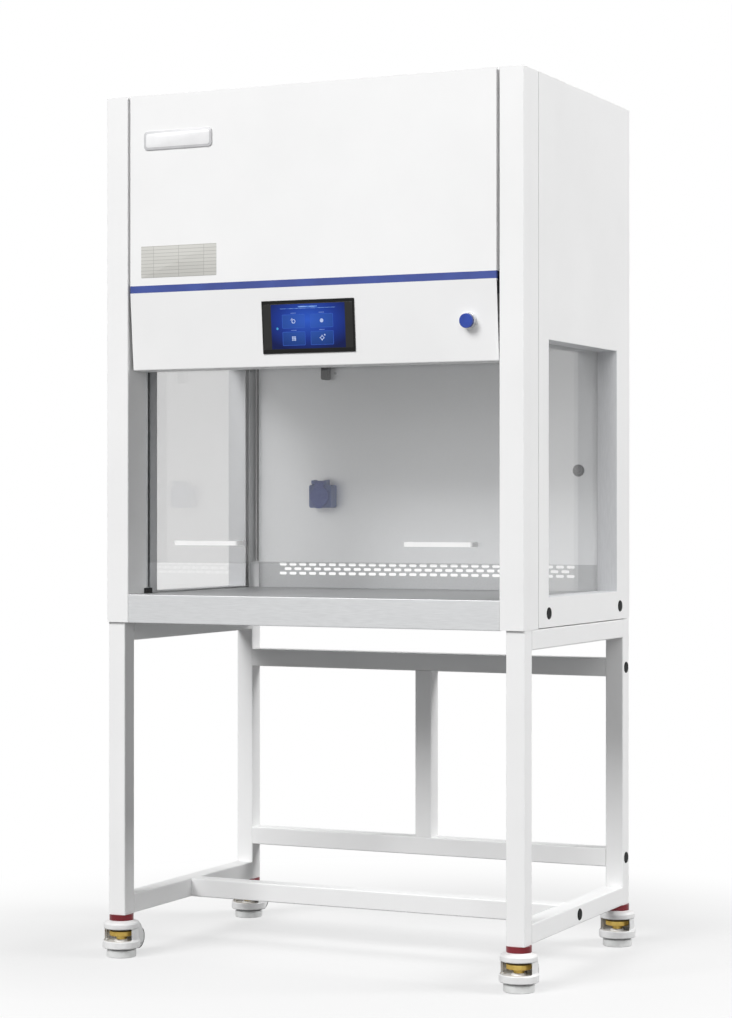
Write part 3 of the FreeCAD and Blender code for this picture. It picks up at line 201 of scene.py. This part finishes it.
def float_glass(name, tint, ior):
    """Flat toughened glass: tinted where light goes through, with the mirror sheen of a float surface.

    The transparent part doesn't bend light, so a face seen from inside takes the same rim as one seen from outside.
    """
    roughness, wipe_mm = 0.02, 60
    material, tree, shader = new_material(name)
    plain(shader, "FFFFFF", roughness, 1.0)
    wiped = add(tree, "TexNoise", {"Vector": object_space(tree, (1, 1, 0.3))}, Scale=1000 / wipe_mm, Detail=3.0)
    vary_gloss(tree, shader, wiped, roughness, 0.008)
    side = add(tree, "NewGeometry")
    index = add(tree, "MapRange", {"Value": side.outputs["Backfacing"]}, To_Min=ior, To_Max=1 / ior)
    rim = add(tree, "Fresnel", {"IOR": index.outputs["Result"]})
    clear = add(tree, "BsdfTransparent", Color=linear(tint))
    seen = add(tree, "MixShader", {"Fac": rim.outputs[0], 1: clear.outputs[0], 2: shader.outputs[0]})
    tree.links.new(seen.outputs[0], tree.nodes["Material Output"].inputs["Surface"])
    return material


def moulded(name, dark, light, roughness, grain_mm=0.8, depth=0.012, **sockets):
    """Injection-moulded plastic: an even body colour and the fine spark-eroded texture of its mould."""
    material, tree, shader = new_material(name)
    plain(shader, light, roughness, **sockets)
    tone(tree, shader, dark, light, 25)
    texture = grain(tree, shader, grain_mm, depth, detail=2.0, strength=0.4)
    vary_gloss(tree, shader, texture, roughness, 0.03)
    return material


def metal(name, dark, light, roughness, grain_mm=0.7, stretch=(1, 1, 1), metallic=1.0):
    """Turned, plated or anodised metal: a tight tone drift and fine tool marks."""
    material, tree, shader = new_material(name)
    plain(shader, light, roughness, metallic)
    tone(tree, shader, dark, light, 18)
    marks = grain(tree, shader, grain_mm, 0.003, stretch, detail=2.0, strength=0.3)
    vary_gloss(tree, shader, marks, roughness, 0.05)
    return material


def fibre(name, dark, light):
    """Non-woven fleece, board or pile: dull, with matted fibres of about a millimetre."""
    material, tree, shader = new_material(name)
    plain(shader, light, 0.9)
    tone(tree, shader, dark, light, 1.6, (1, 1, 3), detail=6.0)
    grain(tree, shader, 1.2, 0.2, (1, 1, 3), detail=6.0, strength=0.8)
    return material


GROUND_GLOW, SIGN_GLOW = 0.12, 0.15  # how strongly the display's grounds and its signs shine


def crystal(name, light, glow):
    """The liquid crystal picture's own shader: glossy, and giving off a little light."""
    material, tree, shader = new_material(name)
    plain(shader, light, 0.2, Emission_Strength=glow, Specular_IOR_Level=0.15)
    return material, tree, shader


def backlit(name, dark, light, glow=GROUND_GLOW):
    """A lit part of the picture: a colour that drifts a little, as the lamps behind the glass do."""
    material, tree, shader = crystal(name, light, glow)
    ramp = tone(tree, shader, dark, light, 9)
    tree.links.new(ramp.outputs["Color"], shader.inputs["Emission Color"])
    return material


def display_picture(name, middle, half, dark, between, light):
    """A blue of the display: light near the middle and falling to a deep blue at the edges."""
    material, tree, shader = crystal(name, light, GROUND_GLOW)
    stretch = (1 / half[0], 0, 1 / half[1])
    shift = (-middle[0] / half[0], 0, -middle[2] / half[1])
    fall = add(tree, "TexGradient", {"Vector": object_space(tree, stretch, shift=shift)}, gradient_type="SPHERICAL")
    ramp = blend_tones(tree, shader, fall.outputs["Fac"], dark, light, 0.0, 1.0)
    middle_stop = ramp.color_ramp.elements.new(0.4)
    middle_stop.color = linear(between)
    tree.links.new(ramp.outputs["Color"], shader.inputs["Emission Color"])
    return material


def ruled_foil(name, columns_mm, rows_mm):
    """Printed silver polyester foil: pale grey with the thin rules of an empty form."""
    material, tree, shader = new_material(name)
    plain(shader, "CBCAC5", 0.6)
    rules = add(tree, "TexBrick", {"Vector": object_space(tree, turn=(math.radians(-90), 0, 0))}, offset=0.0,
                Color1=linear("CBCAC5"), Color2=linear("C4C3BE"), Mortar=linear("9E9D98"), Scale=1.0,
                Mortar_Size=0.5 * MM, Mortar_Smooth=0.3, Brick_Width=columns_mm * MM, Row_Height=rows_mm * MM)
    tree.links.new(rules.outputs["Color"], shader.inputs["Base Color"])
    grain(tree, shader, 6, 0.02, detail=1.0, strength=0.3)
    return material


GRAIN_ALONG_X = (0.06, 1, 1)
FINISHES = {
    "white_paint": powder_coat("white_powder_coat", "EEEEEE", "F1F1F1", 0.42),
    "blue_paint": enamel("blue_enamel", "2B3F88", "324894"),
    "stainless": ground_stainless("belt_ground_stainless", "C2C3C4", "CECFD0", 0.48, 0.35, GRAIN_ALONG_X),
    "zinc_sheet": galvanised("galvanised_sheet", 9),
    "side_glass": float_glass("side_float_glass", "F4F4F4", 1.4),
    "sash_glass": float_glass("sash_float_glass", "F4F4F4", 1.5),
    "screen": moulded("black_abs", "0C0C0B", "121211", 0.45, Specular_IOR_Level=0.15),
    "silver_ring": metal("nickel_plated_ring", "B9BABC", "D5D6D8", 0.25),
    "blue_button": moulded("gloss_blue_polycarbonate", "1C3A92", "2447AA", 0.22, 3.0, 0.004),
    "black_plastic": moulded("black_polyethylene", "060606", "0C0C0C", 0.5, Specular_IOR_Level=0.08),
    "dark_plastic": moulded("dark_grey_abs", "3A3A3B", "444546", 0.5),
    "black_rubber": moulded("epdm_rubber", "141414", "1C1C1C", 0.8, 1.5, 0.03),
    "anodised": metal("satin_anodised_aluminium", "B4B6B8", "C2C4C6", 0.45, 0.8, (1, 1, 0.05), 0.5),
    "filter_frame": fibre("kraft_filter_board", "D8D8D4", "E2E2DE"),
    "filter_pad": fibre("polyester_filter_fleece", "D9DDDD", "F0F2F2"),
    "fan_steel": enamel("black_motor_lacquer", "151515", "1E1E1E", 0.45),
    "lamp_tube": float_glass("quartz_lamp_tube", "DDE6EA", 1.46),
    "lens": moulded("opal_acrylic_lens", "E8E8E4", "F2F2EE", 0.3, 4.0, 0.004),
    "socket_grey": moulded("blue_grey_polycarbonate", "5B6A9A", "6676A6", 0.4),
    "socket_blue": moulded("smoke_blue_lid", "5663A0", "606EAA", 0.28, 3.0, 0.004),
    "bolt_steel": metal("bright_zinc_plated_steel", "9A9B9C", "B5B6B8", 0.35),
    "red_collar": enamel("red_anodised_collar", "6C1820", "842630", 0.3, 0.4),
    "caster_shell": moulded("pale_grey_nylon", "E4E4E4", "ECECEC", 0.35),
    "brass": metal("turned_brass", "B8994A", "D2B666", 0.3, metallic=0.85),
    "caster_tread": moulded("charcoal_polyurethane_tread", "2B2B2B", "353535", 0.6),
    "pad_grey": moulded("grey_polyamide_pad", "DCDDDC", "E5E6E5", 0.45),
}
WALL = satin_wall("satin_stainless_wall", "DDDEDF", "E8E9EA")
PAINTED_SHADE_WALL = satin_wall("painted_shade_satin_stainless", "B8B9BA", "C2C3C4")  # painted shade: darker, as the photograph shows these parts in shade
WORKTOP = ground_stainless("belt_ground_worktop", "BABBBC", "C6C7C8", 0.46, 0.6, GRAIN_ALONG_X,
                           edge="909090")
# The dark second colour is painted shade in the holes.
PERFORATED = perforated_steel("perforated_stainless", "D6D7D8", "3A3B3C", 6.0)
# The perforated panel and both side liners are painted darker, for the shade that falls on them.
NODE_FINISH = {"rear_inner_wall": WALL, "perforated_panel": PAINTED_SHADE_WALL, "side_liner_left": PAINTED_SHADE_WALL,
               "side_liner_right": PAINTED_SHADE_WALL, "worktop": WORKTOP, "diffuser": PERFORATED,
               "sash_handles": enamel("white_handle_enamel", "F2F2F2", "F6F6F6", 0.3)}

for part in frame["record"]["subparts"]:
    finish = NODE_FINISH.get(part["node"], FINISHES[part["material_slot"]])
    mesh = nodes[part["node"]].data
    mesh.materials.clear()
    mesh.materials.append(finish)


# Shapes

CREASE = 35  # degrees, above which an edge of a piece stays sharp


def at(x, y, z, turn=0.0, axis="Z"):
    """A place in millimetres, with a turn in degrees about one axis."""
    return Matrix.Translation((x * MM, y * MM, z * MM)) @ Matrix.Rotation(math.radians(turn), 4, axis)


def ease(shape, edges, offset, segments):
    """Rounds edges of a shape."""
    bmesh.ops.bevel(shape, geom=edges, offset=offset * MM, offset_type="OFFSET", segments=segments, profile=0.5,
                    affect="EDGES", material=-1)


def slab(wide, deep, high, corner=0.0, edge=0.0, segments=4):
    """A plate about the origin that faces -Y: its corners rounded, then the edge of its face eased."""
    plate = bmesh.new()
    bmesh.ops.create_cube(plate, size=MM, matrix=Matrix.Diagonal((wide, deep, high, 1)))
    if corner:
        ease(plate, [e for e in plate.edges if abs(e.verts[0].co.y - e.verts[1].co.y) > deep * MM / 2], corner,
             segments)
    if edge:
        ease(plate, [e for e in plate.edges if all(v.co.y < 0 for v in e.verts)], edge, 2)
    return plate


def turned(profile, steps, closed=False):
    """A piece turned on a lathe: a profile of (radius, height) spun about the z axis."""
    shape = bmesh.new()
    points = [shape.verts.new((radius * MM, 0, height * MM)) for radius, height in profile]
    ends = points[1:] + points[:1] if closed else points[1:]
    edges = [shape.edges.new(pair) for pair in zip(points, ends)]
    bmesh.ops.spin(shape, geom=points + edges, cent=(0, 0, 0), axis=(0, 0, 1), dvec=(0, 0, 0), angle=math.tau,
                   steps=steps, use_merge=True, use_normal_flip=False, use_duplicate=False)
    bmesh.ops.remove_doubles(shape, verts=shape.verts, dist=1e-6)
    bmesh.ops.recalc_face_normals(shape, faces=shape.faces)
    return shape


def piece(name, shapes, finish, body):
    """Adds one piece from shapes, each with the places where it stands, and rides it on a body."""
    whole = bmesh.new()
    for shape, places in shapes:
        loose = bpy.data.meshes.new("loose")
        shape.to_mesh(loose)
        shape.free()
        for place in places:
            before = len(whole.verts)
            whole.from_mesh(loose)
            whole.verts.ensure_lookup_table()
            bmesh.ops.transform(whole, matrix=place, verts=whole.verts[before:])
        bpy.data.meshes.remove(loose)
    mesh = bpy.data.meshes.new(name)
    whole.to_mesh(mesh)
    whole.free()
    mesh.shade_smooth()
    mesh.set_sharp_from_angle(angle=math.radians(CREASE))
    mesh.materials.append(finish)
    made = bpy.data.objects.new(name, mesh)
    bpy.context.scene.collection.objects.link(made)
    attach(made, body)
    return made


FACE = -350.75  # the front of the cabinet
TURN_FRONT = 90  # about X: an axis along +Z comes to look to the front
TURN_BACK = -90
TURN_RIGHT = 90  # about Y: an axis along +Z comes to look to the right


# Control panel: a touch display in its bezel

PANEL = at(0, FACE, 1479, 4.7, "X")  # its upper edge, from which it leans back
BEZEL_FACE = -2.5
MID_X, MID_Z = 0.5, -85.35  # the display's centre, on the panel


def on_panel(x, z, front, deep, turn=0.0):
    """A place on the sloping panel: x and z from the display's centre, and the height of the plate's face."""
    return PANEL @ at(MID_X + x, BEZEL_FACE - front + deep / 2, MID_Z + z, turn, "Y")


display_centre = PANEL @ Vector((MID_X * MM, BEZEL_FACE * MM, MID_Z * MM))
DISPLAY_GLOW = display_centre + Vector((0, 0, 0.014))  # where the picture is lightest
GLOW_REACH = (0.12, 0.068)  # metres from there to where it is darkest, sideways and up or down
COVER_GLASS = moulded("grey_cover_glass", "141413", "1A1A18", 0.12, 8.0, 0.002, Specular_IOR_Level=0.35)
TILE_PLACES = [(-34.5, 11), (33, 11), (-34.5, -26), (33, -26)]
TILE_WIDE, TILE_HIGH = 55, 30

piece("screen_cover", [(slab(215, 0.6, 98, 2, 0.15), [on_panel(-MID_X, 0, 0.5, 0.6)])], COVER_GLASS, "cabinet")
piece("display", [(slab(177, 0.3, 96, 0.8), [on_panel(0, 0, 0.7, 0.3)])],
      display_picture("display_blue", DISPLAY_GLOW, GLOW_REACH, "0A164A", "183286", "2C56BC"), "cabinet")
piece("display_glow", [(slab(46, 0.2, 2.6, 1.2), [on_panel(0, 42, 0.85, 0.2)]),
                       (slab(132, 0.15, 0.8, 0.3), [on_panel(0, 38.5, 0.8, 0.15)])],
      backlit("display_pale_blue", "4673C8", "86ACE4", SIGN_GLOW), "cabinet")
piece("display_tile_rims", [(slab(TILE_WIDE, 0.2, TILE_HIGH, 2),
                             [on_panel(x, z, 0.82, 0.2) for x, z in TILE_PLACES])],
      backlit("display_rim_blue", "2E52AE", "375CB8"), "cabinet")
piece("display_tiles", [(slab(TILE_WIDE - 2.4, 0.2, TILE_HIGH - 2.4, 1.2),
                         [on_panel(x, z, 0.92, 0.2) for x, z in TILE_PLACES])],
      display_picture("display_tile_blue", DISPLAY_GLOW, GLOW_REACH, "14306E", "23468F", "3058B8"), "cabinet")

# One generic sign on each tile: a ring with a handle, a disc, a grid of dots, and a frame with a dot
(left, upper), (right, lower) = TILE_PLACES[0], TILE_PLACES[3]
flat_ring = [(3.1, 0), (4.6, 0), (4.6, 0.2), (3.1, 0.2)]
disc = [(0, 0), (4.2, 0), (4.2, 0.2), (0, 0.2)]
glyph_face = 1.02
lathe = Matrix.Rotation(math.radians(TURN_FRONT), 4, "X")
piece("display_symbols", [
    (turned(flat_ring, 24, True), [on_panel(left, upper, glyph_face - 0.2, 0) @ lathe]),
    (slab(1.4, 0.2, 6), [on_panel(left - 4.6, upper + 4.4, glyph_face, 0.2, 40)]),
    (turned(disc, 24), [on_panel(right, upper, glyph_face - 0.2, 0) @ lathe]),
    (slab(2.5, 0.2, 2.5), [on_panel(left + 3.3 * i, lower + 3.3 * j, glyph_face, 0.2)
                           for i in (-1, 0, 1) for j in (-1, 0, 1)]),
    (slab(9, 0.2, 1.5), [on_panel(right + 3.2 * math.cos(t), lower + 3.2 * math.sin(t), glyph_face, 0.2,
                                  90 - math.degrees(t)) for t in (math.pi * (0.25 + 0.5 * k) for k in range(4))]),
    (slab(3, 0.2, 3), [on_panel(right + 6.4, lower + 6.2, glyph_face, 0.2)]),
], backlit("display_white", "A9B8DE", "BCC9E8", SIGN_GLOW), "cabinet")
piece("display_captions", [(slab(13, 0.2, 1.3, 0.4),
                            [on_panel(x, z + TILE_HIGH / 2 + 2.6, 0.85, 0.2) for x, z in TILE_PLACES])],
      backlit("display_caption_blue", "5F7CC0", "7490CE"), "cabinet")
piece("display_pointer", [(turned([(0, 0), (2.6, 0), (2.6, 0.25), (0, 0.25)], 20),
                           [on_panel(-74, -3.7, 0.65, 0) @ lathe])],
      backlit("display_cyan", "3A8FC0", "4FA6D2"), "cabinet")


# Plates on the front

BADGE = (-317.5, 1815)  # x and z of their centres
FOIL = (-316.25, 1547)
piece("badge_plate", [(slab(171, 3.6, 42, 9, 1.3, 6), [at(BADGE[0], FACE - 1.2, BADGE[1])])],
      moulded("satin_grey_acrylic", "C6C6C8", "CECED0", 0.3, 4.0, 0.004), "cabinet")
piece("badge_field", [(slab(159, 0.8, 31, 5.5, 0.3, 6), [at(BADGE[0], FACE - 3.0, BADGE[1])])],
      moulded("gloss_white_acrylic", "F0F0F1", "F4F4F5", 0.2, 5.0, 0.003), "cabinet")
piece("rating_foil", [(slab(189.5, 0.5, 70, 1.5, 0.1), [at(FOIL[0], FACE - 0.15, FOIL[1])])],
      ruled_foil("ruled_silver_foil", 63.2, 7.6), "cabinet")


# Fasteners: pan-head screws with a sunk drive

SCREW = metal("stainless_screw", "A4A5A6", "BDBEBF", 0.32, 0.5)
PAN_HEAD = [(0, 0.5), (1.2, 0.7), (1.5, 2.0), (2.4, 1.9), (3.1, 1.3), (3.5, 0.4), (3.5, -0.5), (0, -0.5)]
REAR_WALL = 261.25  # the faces that the screws sit on
BACK = 304.25
TOP = 1916
GLASS_BACK = -259.75
HANDLE_X, HANDLE_REACH, HANDLE_Z = 281, 75, 925
piece("wall_screws", [(turned(PAN_HEAD, 20), [at(x, REAR_WALL, 1327, TURN_FRONT, "X") for x in (-231, 231)])], SCREW,
      "cabinet")
back_places = [(x, z) for x in (-434, 434) for z in (905, 1145, 1385, 1625, 1865)]
back_places += [(x, z) for x in (-217, 0, 217) for z in (886, 1898)]
piece("rear_panel_screws", [(turned(PAN_HEAD, 20), [at(x, BACK, z, TURN_BACK, "X") for x, z in back_places])], SCREW,
      "cabinet")
top_places = [(x, y) for x in (-434, 434) for y in (-310, -110, 90, 285)]
piece("top_cover_screws", [(turned(PAN_HEAD, 20), [at(x, y, TOP) for x, y in top_places])], SCREW, "cabinet")
handle_places = [side * (HANDLE_X + reach) for side in (-1, 1) for reach in (-HANDLE_REACH, HANDLE_REACH)]
piece("handle_screws", [(turned(PAN_HEAD, 20), [at(x, GLASS_BACK, HANDLE_Z, TURN_BACK, "X") for x in handle_places])],
      SCREW, "sash")


# Stainless linings of the side window openings

TRIM = ground_stainless("brushed_window_lining", "D4D5D7", "DEDFE1", 0.5, 0.35, (1, 1, 0.06))
TRIM_WIDE, TRIM_X = 46.2, 476.4  # from the pane out to just inside the side wall's face
WINDOW_FRONT, WINDOW_BACK, WINDOW_LOW, WINDOW_HIGH = -208.75, 219.75, 813.4, 1359.2
middle_y, middle_z = (WINDOW_FRONT + WINDOW_BACK) / 2, (WINDOW_LOW + WINDOW_HIGH) / 2
for side, way in (("left", -1), ("right", 1)):
    piece(f"window_lining_{side}", [
        (slab(TRIM_WIDE, 1, WINDOW_HIGH - WINDOW_LOW, 0, 0.3), [
            at(way * TRIM_X, WINDOW_BACK - 0.45, middle_z), at(way * TRIM_X, WINDOW_FRONT + 0.45, middle_z, 180)]),
        (slab(TRIM_WIDE, 1, WINDOW_BACK - WINDOW_FRONT - 2, 0, 0.3), [
            at(way * TRIM_X, middle_y, WINDOW_HIGH - 0.45, 90, "X"),
            at(way * TRIM_X, middle_y, WINDOW_LOW + 0.45, -90, "X")]),
    ], TRIM, "cabinet")


# Wire guard over the prefilter, in the opening of the top cover

GUARD = metal("zinc_plated_wire", "A9ABAD", "BDBFC1", 0.4, 0.5)
FAN_Y = 25.25
WIRE = 2.4
piece("prefilter_guard", [
    (slab(398, WIRE, WIRE, 0, 0.5), [at(0, FAN_Y + y, TOP - 0.8, -90, "X") for y in range(-140, 141, 20)]),
    (slab(WIRE, WIRE, 298, 0, 0.5), [at(x, FAN_Y, TOP - 1.8, -90, "X") for x in range(-180, 181, 60)]),
], GUARD, "cabinet")


# Ends of the lamp and seals of the sash guides

LAMP_Y, LAMP_Z = 250.25, 1353
cap = [(7.8, 0), (8.6, 0.6), (8.6, 17.4), (7.8, 18)]
piece("lamp_end_caps", [(turned(cap, 28, True), [at(x, LAMP_Y, LAMP_Z, TURN_RIGHT, "Y") for x in (-243, 225)])],
      metal("spun_aluminium", "B4B6B8", "C8CACC", 0.35), "cabinet")
piece("guide_seals", [(slab(1.2, 2.2, 540, 0, 0.3), [at(side * 441.8, -266.6, 1095) for side in (-1, 1)])],
      fibre("black_pile_seal", "101010", "1C1C1C"), "cabinet")


# Casters: a rubber tread on a dished hub in each fork, and the ribs of the levelling wheel

TREAD = [(19.4, -12.6), (22.8, -13.2), (24.4, -12.0), (25, -9.5), (25, 9.5), (24.4, 12.0), (22.8, 13.2), (19.4, 12.6)]
HUB = [(4.1, -9), (5.5, -13.4), (8, -13.4), (9.2, -10.2), (16.4, -10.2), (17.8, -13.6), (20, -13.6), (20, 13.6),
       (17.8, 13.6), (16.4, 10.2), (9.2, 10.2), (8, 13.4), (5.5, 13.4), (4.1, 9)]
LEG_X, AXLE_BEHIND, AXLE_HIGH = 478.2, 57, 34
HUB_GREY = moulded("pale_grey_polypropylene", "C9CACA", "D6D7D7", 0.45)
RIB_COUNT, RIB_RADIUS, RIB_HIGH = 45, 26, 52.5
for end, leg_y in (("front", -323.25), ("rear", 283.25)):
    for side, leg_x in (("left", -LEG_X), ("right", LEG_X)):
        corner = f"{end}_{side}"
        axle = at(leg_x, leg_y + AXLE_BEHIND, AXLE_HIGH, TURN_RIGHT, "Y")
        tread = piece(f"tread_{corner}", [(turned(TREAD, 48, True), [axle])], FINISHES["caster_tread"],
                      f"roller_{corner}")
        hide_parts(f"caster_wheel_{corner}")
        piece(f"hub_{corner}", [(turned(HUB, 48, True), [axle])], HUB_GREY, f"roller_{corner}")
        ribs = [at(leg_x, leg_y, RIB_HIGH, 360 * i / RIB_COUNT) @ at(0, -RIB_RADIUS, 0) for i in range(RIB_COUNT)]
        piece(f"thumb_ribs_{corner}", [(slab(1.5, 1.0, 9.4, 0, 0.4), ribs)], FINISHES["brass"], f"thumb_{corner}")


# Stage, light and camera

FLOOR_BOUNCE = 0.2  # how much of the light the floor hands back to the object
FLOOR_SHADE = 0.28  # how much of the near floor's tone comes from the light on it, which leaves its shadow faint
FLOOR_LIFT = 0.62  # what the near floor gives off towards the camera besides
FADE_NEAR, FADE_FAR = 0.65, 1.5  # metres from the object between which the floor goes to the backdrop's white
SKY = 0.2  # the overhead part of the surround, as the object sees it
LAMP_AIM = Vector((0, 0, 1))
LAMPS = [  # name, place, side in metres, watts: all far off, so that the front is lit evenly from top to foot
    ("right_front_softbox", (8.0, -20.0, 9.0), 12.0, 1195),
    ("left_front_softbox", (-7.0, -20.0, 15.5), 12.0, 5450),
    ("right_softbox", (21.0, 5.0, 15.0), 11.0, 5150),
]


def seen_rays(tree):
    """One for what the camera sees, also through glass and in gloss; nought for light on its way to the object."""
    rays = add(tree, "LightPath")
    seen = add(tree, "Math", {0: rays.outputs["Is Camera Ray"], 1: rays.outputs["Is Transmission Ray"]},
               operation="MAXIMUM")
    return add(tree, "Math", {0: seen.outputs[0], 1: rays.outputs["Is Glossy Ray"]}, operation="MAXIMUM").outputs[0]


def studio():
    """A white surround and a pale floor that keeps the object's shadow."""
    world = bpy.data.worlds.new("studio")
    bpy.context.scene.world = world
    world.use_nodes = True
    tree = world.node_tree
    tree.nodes.clear()
    way = add(tree, "SeparateXYZ", {"Vector": add(tree, "TexCoord").outputs["Generated"]})
    overhead = add(tree, "MapRange", {"Value": way.outputs["Z"]}, From_Min=0.1, From_Max=0.75, To_Max=SKY)
    dim = add(tree, "Background", {"Strength": overhead.outputs["Result"]}, Color=(1, 1, 1, 1))
    white = add(tree, "Background", Color=(1, 1, 1, 1), Strength=1.0)
    both = add(tree, "MixShader", {"Fac": seen_rays(tree), 1: dim.outputs[0], 2: white.outputs[0]})
    add(tree, "OutputWorld", {"Surface": both.outputs[0]})

    bpy.ops.mesh.primitive_plane_add(size=60)
    floor = bpy.context.object
    floor.name = "floor"
    material, tree, shader = new_material("white_sweep")
    bounce = add(tree, "BsdfDiffuse", Color=(FLOOR_BOUNCE, FLOOR_BOUNCE, FLOOR_BOUNCE, 1))
    paper = add(tree, "BsdfDiffuse", Color=(FLOOR_SHADE, FLOOR_SHADE, FLOOR_SHADE, 1))
    lift = add(tree, "Emission", Strength=FLOOR_LIFT)
    near = add(tree, "AddShader", {0: paper.outputs[0], 1: lift.outputs[0]})
    away = add(tree, "VectorMath", {0: object_space(tree)}, operation="LENGTH")
    fade = add(tree, "MapRange", {"Value": away.outputs["Value"]}, interpolation_type="SMOOTHSTEP",
               From_Min=FADE_NEAR, From_Max=FADE_FAR)
    far = add(tree, "Emission", Strength=1.0)
    shown = add(tree, "MixShader", {"Fac": fade.outputs["Result"], 1: near.outputs[0], 2: far.outputs[0]})
    both = add(tree, "MixShader", {"Fac": seen_rays(tree), 1: bounce.outputs[0], 2: shown.outputs[0]})
    tree.links.new(both.outputs[0], tree.nodes["Material Output"].inputs["Surface"])
    floor.data.materials.append(material)


def soft_lamp(name, spot, size, watts):
    """A square area lamp that faces the middle of the object."""
    data = bpy.data.lights.new(name, "AREA")
    data.shape = "SQUARE"
    data.size = size
    data.energy = watts
    lamp = bpy.data.objects.new(name, data)
    bpy.context.scene.collection.objects.link(lamp)
    lamp.location = spot
    lamp.rotation_euler = (LAMP_AIM - Vector(spot)).to_track_quat("-Z", "Y").to_euler()


def camera():
    """The photograph's viewpoint, as fitted to its edges."""
    data = bpy.data.cameras.new("camera")
    data.lens = 88.19
    data.sensor_width = 36
    data.clip_end = 100
    view = bpy.data.objects.new("camera", data)
    view.location = (2.4025, -5.1369, 1.0005)
    view.rotation_euler = (math.radians(90), 0, math.radians(25.3))
    bpy.context.scene.collection.objects.link(view)
    bpy.context.scene.camera = view


studio()
for name, spot, size, watts in LAMPS:
    soft_lamp(name, spot, size, watts)
camera()
bpy.context.scene.view_settings.view_transform = "Standard"
